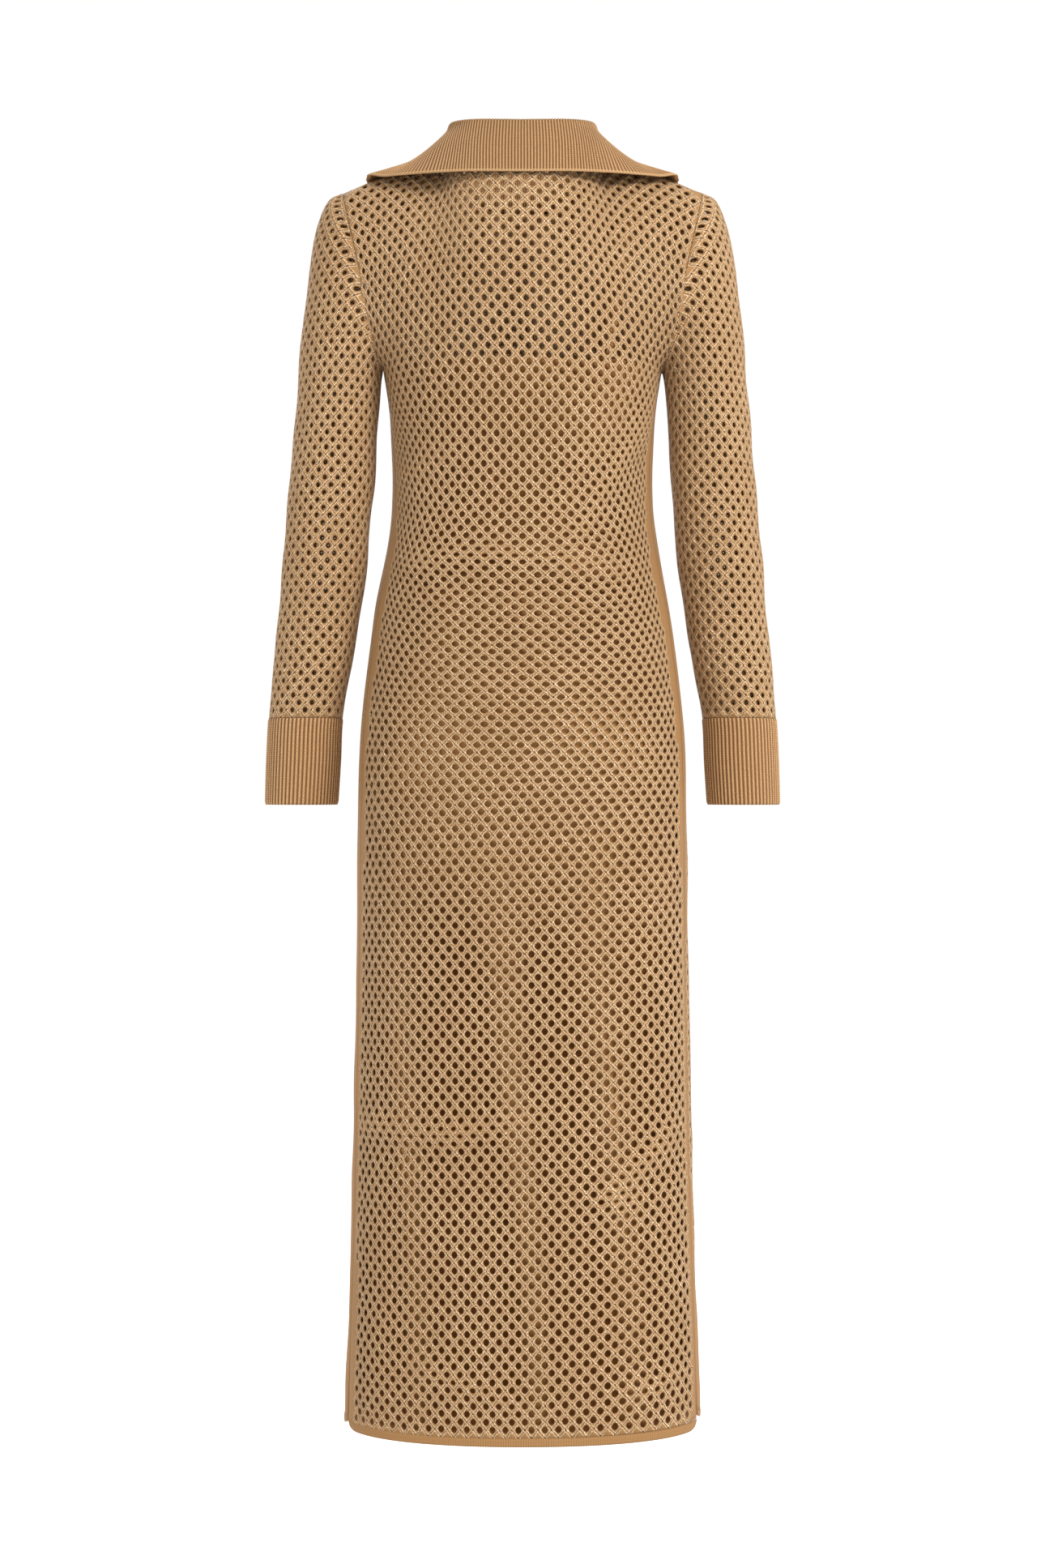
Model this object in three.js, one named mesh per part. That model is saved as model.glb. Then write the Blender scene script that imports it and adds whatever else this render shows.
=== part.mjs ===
// Long-sleeved knitted sweater dress over a slip, hollow and in its worn form.
// Millimetres, +Z up. The front faces -Y, the back faces +Y, the wearer's left is at +X.
// The origin is between the shoulder seams, at the base of the neck, where the wearer carries it.
import * as THREE from 'three';

// Walls and seams
const netWall = 2.0;
const ribWall = 2.2;
const slipWall = 1.0;
const strapWall = 1.0;
const seamGap = 0.36;

// Neck and shoulders
const neckHalfWidth = 78;
const neckSideHeight = 6;
const neckSideDepth = 8;
const backNeck = { depth: 58, height: 1.5 };
const frontNeck = { depth: -68, height: -38 };
const shoulderBow = 4;
const neckShares = { back: 0.45, front: 0.6 };
const neckSeamEnd = 1.996;

// Armhole: an oval that leans in from the shoulder tip to the underarm
const shoulderTip = new THREE.Vector3(186, 0, -29);
const underarm = new THREE.Vector3(144.5, 0, -212);
const armholeHalfDepth = 58;
const underarmLean = 0.6;

// Sleeves: places along a sleeve, as in the table of its rings, and its length
const sleeveEnd = 1;
const cuffEnd = 1.12;
const sleeveLength = 750;

// Skirt and hem
const hemHeight = -1300;
const frontHemRise = 4;
const frontHemTilt = 3;
const hemBandHeight = 8.5;
const hemCornerRise = 3;
const ventTop = -1208;
const ventHalfOpening = 0.016;
const sectionFullness = 0.035;
const seamTurn = THREE.MathUtils.degToRad(16);
const seamTurnStart = underarm.z;
const seamTurnEnd = -320;

// Slip
const slipInset = 9;
const slipTop = -212.15;
const slipHem = -1286;
const slipFoldStart = -600;
const slipFoldEnd = -1000;
const strapWidth = 7;
const strapRows = 8;
const strapEnd = { back: 0.9995, front: 0.991 };
const strapTop = 0.02;
const strapSink = 1.8;
const strapAcross = { lowBack: 0.411, topBack: 0.674, lowFront: 0.34, topFront: 0.763 };

// Ribs of the collar and the cuffs
const cuffRibs = 56;
const cuffRibHeight = 0.9;
const collarRibs = 168;
const collarRibHeight = 0.7;
const plainShare = 4;

// Collar: where it starts by the neck seam, the round of its fold, and how far it clears the panels
const collarStart = { up: 1.2, inwards: 2.2 };
const collarFold = { riseShare: 0.3, mostRise: 7, inwards: 3.2, outwards: 4.4 };
const collarClearance = { fold: 2.4, leaf: 1.4, edge: 0.9 };

const panelColumns = 18;
const slipColumns = 16;
const sleeveColumns = 20;

const net = { color: 0xc29a68, roughness: 0.85, metalness: 0 };
const rib = { color: 0xc49c6b, roughness: 0.85, metalness: 0 };
const plain = { color: 0xb88f5c, roughness: 0.8, metalness: 0 };
const satin = { color: 0xa9814e, roughness: 0.6, metalness: 0 };

// Half sections of the body: half width, and how far the back and the front lie from the middle
const bodySections = [
  { height: -1310, halfWidth: 185, back: 111, front: 110 },
  { height: -1256, halfWidth: 183, back: 110, front: 109 },
  { height: -1121, halfWidth: 178.5, back: 108, front: 108 },
  { height: -1004, halfWidth: 175.5, back: 108, front: 108 },
  { height: -836, halfWidth: 172.3, back: 112, front: 110 },
  { height: -702, halfWidth: 170.5, back: 119, front: 111 },
  { height: -595, halfWidth: 168.4, back: 120, front: 108 },
  { height: -530, halfWidth: 162, back: 113, front: 104 },
  { height: -465, halfWidth: 153.3, back: 102, front: 100 },
  { height: -400, halfWidth: 141, back: 90, front: 96 },
  { height: -365, halfWidth: 136.2, back: 86, front: 97 },
  { height: -330, halfWidth: 134.5, back: 86, front: 101 },
  { height: -295, halfWidth: 135.5, back: 90, front: 109 },
  { height: -265, halfWidth: 137, back: 95, front: 114 },
  { height: -240, halfWidth: 140, back: 98, front: 113 },
  { height: -212, halfWidth: 144.5, back: 100, front: 108 },
];

// Rows of the body panels, as shares of the chest from the shoulder and as heights below the underarm
const chestShares = [0, 0.1, 0.22, 0.35, 0.48, 0.61, 0.74, 0.87, 1];
const skirtHeights = [
  -228, -252, -285, -325, -365, -400, -440, -485, -535, -595, -670, -760, -860, -970, -1090, -1208,
];

// Bow of the back and the front between the shoulder line and the underarm, at the middle and the side
const backBow = { middle: 20, side: 34 };
const frontBow = { middle: 2, side: 32 };

// Rings of a sleeve: its inner and its outer point in the XZ plane, half depth and middle in Y
const sleeveRings = [
  { at: 0.0, innerX: 144.5, innerZ: -212, outerX: 186, outerZ: -29, halfDepth: 58, middle: 0 },
  { at: 0.08, innerX: 145.0, innerZ: -215, outerX: 201, outerZ: -37, halfDepth: 57.5, middle: 0 },
  { at: 0.16, innerX: 145.6, innerZ: -219, outerX: 212, outerZ: -62, halfDepth: 56.5, middle: 0 },
  { at: 0.24, innerX: 146.3, innerZ: -224, outerX: 219, outerZ: -95, halfDepth: 55, middle: 0 },
  { at: 0.32, innerX: 147.0, innerZ: -232, outerX: 225, outerZ: -138, halfDepth: 53, middle: 0 },
  { at: 0.42, innerX: 148.0, innerZ: -247, outerX: 230.5, outerZ: -192, halfDepth: 50, middle: 0 },
  { at: 0.52, innerX: 150.0, innerZ: -276, outerX: 236, outerZ: -255, halfDepth: 47.5, middle: 0 },
  { at: 0.64, innerX: 154.0, innerZ: -342, outerX: 243, outerZ: -334, halfDepth: 45, middle: -1 },
  { at: 0.76, innerX: 161.0, innerZ: -410, outerX: 249, outerZ: -410, halfDepth: 43, middle: -4 },
  { at: 0.88, innerX: 172.0, innerZ: -492, outerX: 257, outerZ: -492, halfDepth: 40, middle: -8 },
  { at: 1.0, innerX: 187.5, innerZ: -572, outerX: 264, outerZ: -572, halfDepth: 36, middle: -13 },
  { at: 1.06, innerX: 190.0, innerZ: -617, outerX: 266.5, outerZ: -617, halfDepth: 34, middle: -15 },
  { at: 1.12, innerX: 193.0, innerZ: -662, outerX: 268, outerZ: -662, halfDepth: 33, middle: -17 },
];

// Stations of half the collar from the middle of the back to the middle of the front, where its ends
// meet: share of the neckline, then the fold's, the leaf's and the edge's points
const collarStations = [
  { at: 0.0, neck: 0, fold: [0, 60, 33], leaf: [0, 73, 6], edge: [0, 81, -24] },
  { at: 0.19, neck: 0.5, fold: [47, 49, 36], leaf: [50, 65, 8], edge: [51, 77.5, -23] },
  { at: 0.316, neck: 0.85, fold: [70, 27, 39], leaf: [77, 50, 12], edge: [84, 68, -22] },
  { at: 0.393, neck: 1.0, fold: [76, 9, 38], leaf: [93, 33, 11], edge: [108, 56, -20.5] },
  { at: 0.5, neck: 1.18, fold: [76, -12, 32], leaf: [106, 12, 7], edge: [140, 36, -18.5] },
  { at: 0.62, neck: 1.38, fold: [66, -38, 25], leaf: [109, -14, 5], edge: [161, 10, -15.5] },
  { at: 0.74, neck: 1.58, fold: [50, -59, 18], leaf: [96, -47, -6], edge: [138, -52, -51] },
  { at: 0.87, neck: 1.79, fold: [27, -72, 14], leaf: [50, -80, -27], edge: [80, -84, -80] },
  { at: 1.0, neck: neckSeamEnd, fold: [0.4, -77, 12], leaf: [0.4, -87.5, -31], edge: [0.4, -90.5, -87] },
];

// Soft folds of the slip: place around it from the middle of the back, spread and rise
const slipFolds = [
  { degrees: -33, spread: 11, rise: 5 },
  { degrees: 1.5, spread: 10, rise: 5.5 },
  { degrees: 42, spread: 12, rise: 5 },
  { degrees: 128, spread: 12, rise: 4 },
  { degrees: 165, spread: 10, rise: 5 },
  { degrees: 208, spread: 11, rise: 5 },
  { degrees: 236, spread: 10, rise: 4 },
];

// Smooth value of one column of a table whose key column rises or falls steadily
function readTable(table, key, column, place) {
  const rows = table[0][key] < table[table.length - 1][key] ? table : [...table].reverse();
  let index = 0;
  while (index < rows.length - 2 && place > rows[index + 1][key]) {
    index += 1;
  }
  const [before, start, end, after] = [-1, 0, 1, 2].map(
    (step) => rows[Math.min(Math.max(index + step, 0), rows.length - 1)],
  );
  const span = end[key] - start[key];
  const share = (place - start[key]) / span;
  const slopeIn = ((end[column] - before[column]) / (end[key] - before[key])) * span;
  const slopeOut = ((after[column] - start[column]) / (after[key] - start[key])) * span;
  const square = share * share;
  const cube = square * share;
  return (
    (2 * cube - 3 * square + 1) * start[column] +
    (cube - 2 * square + share) * slopeIn +
    (3 * square - 2 * cube) * end[column] +
    (cube - square) * slopeOut
  );
}

function smoothStep(place, from, to) {
  return THREE.MathUtils.smoothstep(place, from, to);
}

// Joins two rows of points by triangles, also where one row has more points than the other
function zipRows(rowA, rowB, addTriangle) {
  let a = 0;
  let b = 0;
  const lastA = rowA.length - 1;
  const lastB = rowB.length - 1;
  while (a < lastA || b < lastB) {
    const stepA = b === lastB || (a < lastA && (a + 1) / lastA <= (b + 1) / lastB + 1e-9);
    if (stepA) {
      addTriangle(rowA[a], rowA[a + 1], rowB[b]);
      a += 1;
    } else {
      addTriangle(rowA[a], rowB[b + 1], rowB[b]);
      b += 1;
    }
  }
}

// One closed body between an outer and an inner grid of points; a ring closes across its columns
function closedWall(outer, inner, isRing) {
  const positions = [];
  const places = new Map();
  const indices = [];
  const indexOf = (point) => {
    if (!places.has(point)) {
      places.set(point, positions.length / 3);
      positions.push(point.x, point.y, point.z);
    }
    return places.get(point);
  };
  const addTriangle = (p, q, r) => indices.push(indexOf(p), indexOf(q), indexOf(r));
  const close = (row) => (isRing ? [...row, row[0]] : row);
  const last = outer.length - 1;
  for (let row = 0; row < last; row += 1) {
    zipRows(close(outer[row]), close(outer[row + 1]), addTriangle);
    zipRows(close(inner[row + 1]), close(inner[row]), addTriangle);
  }
  zipRows(close(inner[0]), close(outer[0]), addTriangle);
  zipRows(close(outer[last]), close(inner[last]), addTriangle);
  if (!isRing) {
    zipRows(outer.map((row) => row[0]), inner.map((row) => row[0]), addTriangle);
    zipRows(inner.map((row) => row[row.length - 1]), outer.map((row) => row[row.length - 1]), addTriangle);
  }
  const geometry = new THREE.BufferGeometry();
  geometry.setAttribute('position', new THREE.Float32BufferAttribute(positions, 3));
  geometry.setIndex(signedVolume(positions, indices) < 0 ? indices.reverse() : indices);
  geometry.computeVertexNormals();
  return geometry;
}

function signedVolume(positions, indices) {
  const corner = (index) => new THREE.Vector3().fromArray(positions, indices[index] * 3);
  let volume = 0;
  for (let index = 0; index < indices.length; index += 3) {
    volume += corner(index).dot(corner(index + 1).cross(corner(index + 2))) / 6;
  }
  return volume;
}

const mix = (p, q, share) => new THREE.Vector3().lerpVectors(p, q, share);
const mirrored = (point, side) => new THREE.Vector3(point.x * side, point.y, point.z);
const movedBy = (point, direction, distance) => point.clone().addScaledVector(direction, distance);
const fromTo = (first, last, count) =>
  Array.from({ length: count + 1 }, (_, index) => first + ((last - first) * index) / count);

// Outward direction of a surface given by a function of two places
function outwardOf(surface, a, b, outwardHint, low = -Infinity, high = Infinity) {
  const step = 1e-3;
  const pinned = (value) => Math.min(Math.max(value, low), high);
  const across = surface(a + step, b).sub(surface(a - step, b));
  const along = surface(a, pinned(b + step)).sub(surface(a, pinned(b - step)));
  const direction = across.cross(along).normalize();
  return direction.dot(outwardHint) < 0 ? direction.negate() : direction;
}

// Point of the body's section at a height; the turn runs from the middle of the back to the sides
function sectionPoint(height, turn, inset = 0) {
  const halfWidth = readTable(bodySections, 'height', 'halfWidth', height) - inset;
  const depthColumn = Math.cos(turn) > 0 ? 'back' : 'front';
  const depth = readTable(bodySections, 'height', depthColumn, height) - inset;
  const fullness = 1 + sectionFullness * Math.sin(2 * turn) ** 2;
  return new THREE.Vector3(
    halfWidth * Math.sin(turn) * fullness,
    depth * Math.cos(turn) * fullness,
    height,
  );
}

function sectionOutward(height, turn) {
  const hint = new THREE.Vector3(Math.sin(turn), Math.cos(turn), 0);
  return outwardOf((angle, place) => sectionPoint(place, angle), turn, height, hint);
}

// Side seams turn a little to the back below the underarm, and open into the vents near the hem
function sideTurn(facing, height) {
  const seam = seamTurn * (1 - smoothStep(height, seamTurnEnd, seamTurnStart));
  const vent = ventHalfOpening * (1 - smoothStep(height, hemHeight, ventTop));
  return Math.PI / 2 - facing * seam - vent;
}

function turnAcross(facing, across, height) {
  const turn = across * sideTurn(facing, height);
  return facing > 0 ? turn : Math.PI - turn;
}

// Armhole frame: the oval's middle, its long direction and the direction out through it
const armholeMiddle = mix(shoulderTip, underarm, 0.5);
const armholeUp = shoulderTip.clone().sub(underarm).normalize();
const armholeOut = new THREE.Vector3(armholeUp.z, 0, -armholeUp.x);
const armholeHalfLength = shoulderTip.distanceTo(underarm) / 2;

function armholePoint(turn) {
  return movedBy(armholeMiddle, armholeUp, armholeHalfLength * Math.cos(turn))
    .setY(armholeHalfDepth * Math.sin(turn));
}

// Direction from the armhole's middle out across its edge; near the underarm each wall leans to its own side
function armholeEdge(turn, ownOutward) {
  const edge = armholeUp.clone().multiplyScalar(armholeHalfDepth * Math.cos(turn));
  edge.y = armholeHalfLength * Math.sin(turn);
  edge.normalize();
  const share = underarmLean * smoothStep(Math.abs(Math.sin(turn / 2)), 0.85, 1);
  return edge.multiplyScalar(1 - share).addScaledVector(ownOutward, share).normalize();
}

// Half the neckline and shoulder seam of a panel, from its middle to the shoulder tip
function neckShare(facing) {
  return facing > 0 ? neckShares.back : neckShares.front;
}

function neckPoint(facing, share) {
  const turn = (share * Math.PI) / 2;
  const middle = facing > 0 ? backNeck : frontNeck;
  return new THREE.Vector3(
    neckHalfWidth * Math.sin(turn),
    THREE.MathUtils.lerp(neckSideDepth, middle.depth, Math.cos(turn)),
    THREE.MathUtils.lerp(neckSideHeight, middle.height, Math.cos(turn)),
  );
}

function topPoint(facing, across) {
  const place = Math.abs(across);
  const neck = neckShare(facing);
  let point = neckPoint(facing, Math.min(place / neck, 1));
  if (place > neck) {
    const share = (place - neck) / (1 - neck);
    point = mix(point, shoulderTip, share);
    point.z += shoulderBow * Math.sin(Math.PI * share);
  }
  return mirrored(point, Math.sign(across) || 1);
}

// Chest surface between the top edge, the armholes and the section at the underarm
function chestPoint(facing, across, down) {
  const side = Math.sign(across) || 1;
  const place = Math.min(Math.abs(across), 1);
  const lowest = sectionPoint(underarm.z, turnAcross(facing, across, underarm.z));
  const point = mix(topPoint(facing, across), lowest, down);
  const nearArm = place ** 3;
  const edge = armholePoint(Math.PI * down).sub(mix(shoulderTip, underarm, down));
  point.x += side * nearArm * edge.x;
  point.y += facing * nearArm * edge.y;
  point.z += nearArm * edge.z;
  const bow = facing > 0 ? backBow : frontBow;
  const rise = THREE.MathUtils.lerp(bow.middle, bow.side, smoothStep(place, 0, 0.6));
  point.y += facing * (1 - nearArm) * rise * Math.sin(Math.PI * down ** 0.75);
  return point;
}

function chestOutward(facing, across, down) {
  const inside = Math.min(Math.max(across, -0.998), 0.998);
  const surface = (a, b) => chestPoint(facing, a, b);
  const level = Math.min(Math.max(down, 0.012), 0.998);
  const hint = new THREE.Vector3(Math.sign(across) * Math.abs(across) ** 3, facing * 0.6, 0.25);
  const outward = outwardOf(surface, inside, level, hint, 0, 1);
  if (Math.abs(across) > 0.999) {
    const side = Math.sign(across);
    return mirrored(armholeEdge(facing * Math.PI * down, mirrored(outward, side)), side);
  }
  if (down === 0 && Math.abs(across) >= neckShare(facing)) {
    return outward.setY(0).normalize();
  }
  return outward;
}

function hemAt(facing, across) {
  return facing > 0 ? hemHeight : hemHeight + frontHemRise - frontHemTilt * across;
}

// Grid of a body panel: the outer points, and the inner points under them
function panelGrid(facing, wall) {
  const columns = fromTo(-1, 1, panelColumns);
  const seam = new THREE.Vector3(0, (facing * seamGap) / 2, 0);
  const outer = [];
  const inner = [];
  const addRow = (pointAt, outwardAt) => {
    const row = columns.map((across) => pointAt(across).add(seam));
    outer.push(row);
    inner.push(row.map((point, index) => movedBy(point, outwardAt(columns[index]), -wall)));
  };
  for (const down of chestShares) {
    addRow(
      (across) => chestPoint(facing, across, down),
      (across) => chestOutward(facing, across, down),
    );
  }
  for (const height of skirtHeights) {
    addRow(
      (across) => sectionPoint(height, turnAcross(facing, across, height)),
      (across) => sectionOutward(height, turnAcross(facing, across, height)),
    );
  }
  const bandTop = (across) => hemAt(facing, across) + hemBandHeight + seamGap;
  addRow(
    (across) => sectionPoint(bandTop(across), turnAcross(facing, across, bandTop(across))),
    (across) => sectionOutward(bandTop(across), turnAcross(facing, across, bandTop(across))),
  );
  return { outer, inner };
}

function hemBandGrid(facing) {
  const columns = fromTo(-1, 1, panelColumns);
  const seam = new THREE.Vector3(0, (facing * seamGap) / 2, 0);
  const outer = [];
  const inner = [];
  for (const level of [1, 0.5, 0]) {
    const row = columns.map((across) => {
      const corner = Math.abs(across) === 1 ? hemCornerRise * (1 - level) : 0;
      const height = hemAt(facing, across) + hemBandHeight * level + corner;
      return { height, turn: turnAcross(facing, across, height) };
    });
    const points = row.map(({ height, turn }) => sectionPoint(height, turn).add(seam));
    outer.push(points);
    inner.push(row.map(({ height, turn }, index) =>
      movedBy(points[index], sectionOutward(height, turn), -netWall)));
  }
  return { outer, inner };
}

// Sleeve surface: the turn runs from the outer point over the back to the inner point
function sleevePoint(at, turn) {
  const read = (column) => readTable(sleeveRings, 'at', column, at);
  const innerPoint = new THREE.Vector3(read('innerX'), read('middle'), read('innerZ'));
  const outerPoint = new THREE.Vector3(read('outerX'), read('middle'), read('outerZ'));
  const point = mix(innerPoint, outerPoint, 0.5 + Math.cos(turn) / 2);
  point.y += read('halfDepth') * Math.sin(turn);
  return point;
}

function sleeveOutward(at, turn) {
  const surface = (a, b) => sleevePoint(b, a);
  const hint = sleevePoint(at, turn).sub(sleevePoint(at, turn + Math.PI));
  const outward = outwardOf(surface, turn, at, hint, 0, cuffEnd);
  return at === 0 ? armholeEdge(turn, outward) : outward;
}

function sleeveGrid(side) {
  const turns = fromTo(0, 2 * Math.PI, sleeveColumns).slice(0, -1);
  const outer = [];
  const inner = [];
  for (const { at } of sleeveRings.filter((ring) => ring.at <= sleeveEnd)) {
    const points = turns.map((turn) => sleevePoint(at, turn));
    if (at === 0) {
      points.forEach((point) => point.addScaledVector(armholeOut, seamGap));
    }
    inner.push(points.map((point, index) =>
      mirrored(movedBy(point, sleeveOutward(at, turns[index]), -netWall), side)));
    outer.push(points.map((point) => mirrored(point, side)));
  }
  return { outer, inner };
}

// Cuff: ribs stand out of the outer points, the inside is plain
function cuffGrid(side) {
  const start = sleeveEnd + seamGap / sleeveLength;
  const fine = fromTo(0, 2 * Math.PI, cuffRibs * 2).slice(0, -1);
  const coarse = fromTo(0, 2 * Math.PI, (cuffRibs * 2) / plainShare).slice(0, -1);
  const outer = [];
  const inner = [];
  for (const at of fromTo(start, cuffEnd, 2)) {
    outer.push(fine.map((turn, index) => {
      const lift = index % 2 === 0 ? cuffRibHeight : 0;
      return mirrored(movedBy(sleevePoint(at, turn), sleeveOutward(at, turn), lift), side);
    }));
    inner.push(coarse.map((turn) =>
      mirrored(movedBy(sleevePoint(at, turn), sleeveOutward(at, turn), -ribWall), side)));
  }
  return { outer, inner };
}

// Points of both panels close to the neck, which the collar's leaf has to clear
const panelSamples = [1, -1].flatMap((facing) =>
  fromTo(-1, 1, 72).flatMap((across) =>
    fromTo(0, 0.98, 40).map((down) => ({
      point: chestPoint(facing, across, down),
      outward: chestOutward(facing, across, down),
    }))));

function clearOfPanels(point, distance) {
  const result = point.clone();
  for (let round = 0; round < 3; round += 1) {
    let nearest = panelSamples[0];
    for (const sample of panelSamples) {
      if (sample.point.distanceToSquared(result) < nearest.point.distanceToSquared(result)) {
        nearest = sample;
      }
    }
    const height = result.clone().sub(nearest.point).dot(nearest.outward);
    if (height < distance) {
      result.addScaledVector(nearest.outward, distance - height);
    }
  }
  return result;
}

function readPoint(station, place) {
  const rows = collarStations.map((row) => ({
    at: row.at, x: row[station][0], y: row[station][1], z: row[station][2],
  }));
  const beforeLast = rows[rows.length - 2];
  rows.push({ ...beforeLast, at: 2 - beforeLast.at, x: -beforeLast.x });
  rows.unshift({ ...rows[1], at: -rows[1].at, x: -rows[1].x });
  return new THREE.Vector3(
    readTable(rows, 'at', 'x', place),
    readTable(rows, 'at', 'y', place),
    readTable(rows, 'at', 'z', place),
  );
}

function neckSeamPoint(place) {
  const share = Math.min(Math.max(readTable(collarStations, 'at', 'neck', place), 0), neckSeamEnd);
  const facing = share <= 1 ? 1 : -1;
  return neckPoint(facing, share <= 1 ? share : 2 - share);
}

// Profile of the collar at one place of the neck: up the stand, over the fold, down the leaf
function collarProfile(place) {
  const half = Math.abs(place);
  const seam = neckSeamPoint(half);
  const fold = readPoint('fold', half);
  const leaf = readPoint('leaf', half);
  const edge = readPoint('edge', half);
  const lift = fold.clone().sub(seam).normalize();
  const span = leaf.clone().sub(seam);
  const away = movedBy(span, lift, -span.dot(lift)).normalize();
  const rise = Math.min(fold.distanceTo(seam) * collarFold.riseShare, collarFold.mostRise);
  const belowFold = movedBy(fold, lift, -rise);
  const base = movedBy(movedBy(seam, lift, seamGap + collarStart.up), away, -collarStart.inwards);
  return [
    base,
    movedBy(belowFold, away, -collarFold.inwards),
    fold,
    clearOfPanels(movedBy(belowFold, away, collarFold.outwards), ribWall + collarClearance.fold),
    clearOfPanels(leaf, ribWall + collarClearance.leaf),
    clearOfPanels(edge, ribWall + collarClearance.edge),
  ].map((point) => mirrored(point, place < 0 ? -1 : 1));
}

// Direction out of the collar's ribbed side at each point of its grid
function gridOutward(grid, row, column, sign) {
  const pick = (r, c) => grid[Math.min(Math.max(r, 0), grid.length - 1)][
    Math.min(Math.max(c, 0), grid[0].length - 1)];
  const across = pick(row, column + 1).clone().sub(pick(row, column - 1));
  const along = pick(row + 1, column).clone().sub(pick(row - 1, column));
  return across.cross(along).normalize().multiplyScalar(sign);
}

function collarGrid() {
  const coarseCount = (collarRibs * 2) / plainShare;
  const profiles = fromTo(-1, 1, coarseCount).map((place) => collarProfile(place));
  const rows = profiles[0].map((_, row) => profiles.map((profile) => profile[row]));
  const middle = Math.round(coarseCount / 2);
  const sign = gridOutward(rows, 5, middle, 1).y > 0 ? 1 : -1;
  const outwards = rows.map((points, row) => points.map((_, column) => gridOutward(rows, row, column, sign)));
  const inner = rows.map((points, row) =>
    points.map((point, column) => movedBy(point, outwards[row][column], -ribWall)));
  const outer = rows.map((points, row) => (row < 2 ? points : ribbedRow(points, outwards[row])));
  return { outer, inner };
}

// Row with ribs: the coarse row is divided, and every other point is lifted
function ribbedRow(points, outwards) {
  const row = [];
  for (let column = 0; column < points.length - 1; column += 1) {
    for (let step = 0; step < plainShare; step += 1) {
      const share = step / plainShare;
      const outward = mix(outwards[column], outwards[column + 1], share).normalize();
      const lift = step % 2 === 1 ? collarRibHeight : 0;
      row.push(movedBy(mix(points[column], points[column + 1], share), outward, lift));
    }
  }
  row.push(points[points.length - 1]);
  return row;
}

// Slip: the body's section, smaller, with soft folds that deepen towards its hem
function slipPoint(height, turn) {
  const depth = 1 - smoothStep(height, slipFoldEnd, slipFoldStart);
  const degrees = THREE.MathUtils.radToDeg(turn);
  let rise = 0;
  for (const fold of slipFolds) {
    const away = (degrees - fold.degrees + 540) % 360 - 180;
    rise += fold.rise * Math.exp(-((away / fold.spread) ** 2));
  }
  return sectionPoint(height, turn, slipInset - depth * rise);
}

function slipGrid(facing) {
  const columns = fromTo(-1, 1, slipColumns);
  const seam = new THREE.Vector3(0, (facing * seamGap) / 2, 0);
  const heights = [slipTop, ...skirtHeights.slice(1), slipHem];
  const turnOf = (across) => (facing > 0 ? (across * Math.PI) / 2 : Math.PI - (across * Math.PI) / 2);
  const outwardAt = (height, turn) => {
    const hint = new THREE.Vector3(Math.sin(turn), Math.cos(turn), 0);
    return outwardOf((angle, place) => slipPoint(place, angle), turn, height, hint);
  };
  const outer = heights.map((height) => columns.map((across) =>
    slipPoint(height, turnOf(across)).add(seam)));
  const inner = outer.map((points, row) => points.map((point, index) =>
    movedBy(point, outwardAt(heights[row], turnOf(columns[index])), -slipWall)));
  return { outer, inner };
}

// Strap of the slip: a ribbon under the panels from the slip's back edge over the shoulder to its front
function strapGrid(side) {
  const back = { facing: 1, top: strapAcross.topBack, low: strapAcross.lowBack };
  const front = { facing: -1, top: strapAcross.topFront, low: strapAcross.lowFront };
  const places = [
    ...fromTo(strapEnd.back, strapTop, strapRows).map((down) => ({ ...back, down })),
    ...fromTo(strapTop, strapEnd.front, strapRows).map((down) => ({ ...front, down })),
  ];
  const path = places.map(({ facing, top, low, down }) => {
    const across = THREE.MathUtils.lerp(top, low, down);
    const outward = chestOutward(facing, across, down);
    const depth = THREE.MathUtils.lerp(netWall + strapSink, slipInset, smoothStep(down, 0.5, 1));
    return { point: movedBy(chestPoint(facing, across, down), outward, -depth), outward };
  });
  const outer = path.map(({ point, outward }, index) => {
    const next = path[Math.min(index + 1, path.length - 1)].point;
    const previous = path[Math.max(index - 1, 0)].point;
    const sideways = next.clone().sub(previous).cross(outward).normalize();
    return [-strapWidth / 2, strapWidth / 2].map((offset) =>
      mirrored(movedBy(point, sideways, offset), side));
  });
  const inner = outer.map((points, index) => points.map((point) =>
    movedBy(point, mirrored(path[index].outward, side), -strapWall)));
  return { outer, inner };
}

const dress = new THREE.Group();

function addPiece(name, grid, isRing, look) {
  const material = new THREE.MeshStandardMaterial(look);
  const mesh = new THREE.Mesh(closedWall(grid.outer, grid.inner, isRing), material);
  mesh.name = name;
  dress.add(mesh);
}

addPiece('back_panel', panelGrid(1, netWall), false, net);
addPiece('front_panel', panelGrid(-1, netWall), false, net);
addPiece('back_hem_band', hemBandGrid(1), false, plain);
addPiece('front_hem_band', hemBandGrid(-1), false, plain);
addPiece('sleeve_left', sleeveGrid(1), true, net);
addPiece('sleeve_right', sleeveGrid(-1), true, net);
addPiece('cuff_left', cuffGrid(1), true, rib);
addPiece('cuff_right', cuffGrid(-1), true, rib);
addPiece('collar', collarGrid(), false, rib);
addPiece('slip_back', slipGrid(1), false, satin);
addPiece('slip_front', slipGrid(-1), false, satin);
addPiece('slip_strap_left', strapGrid(1), false, satin);
addPiece('slip_strap_right', strapGrid(-1), false, satin);

export default dress;
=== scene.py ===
# Sweater dress in its worn form: open knit, ribs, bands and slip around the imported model
import bisect
import math
import bmesh
import bpy
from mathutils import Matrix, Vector, noise


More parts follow.
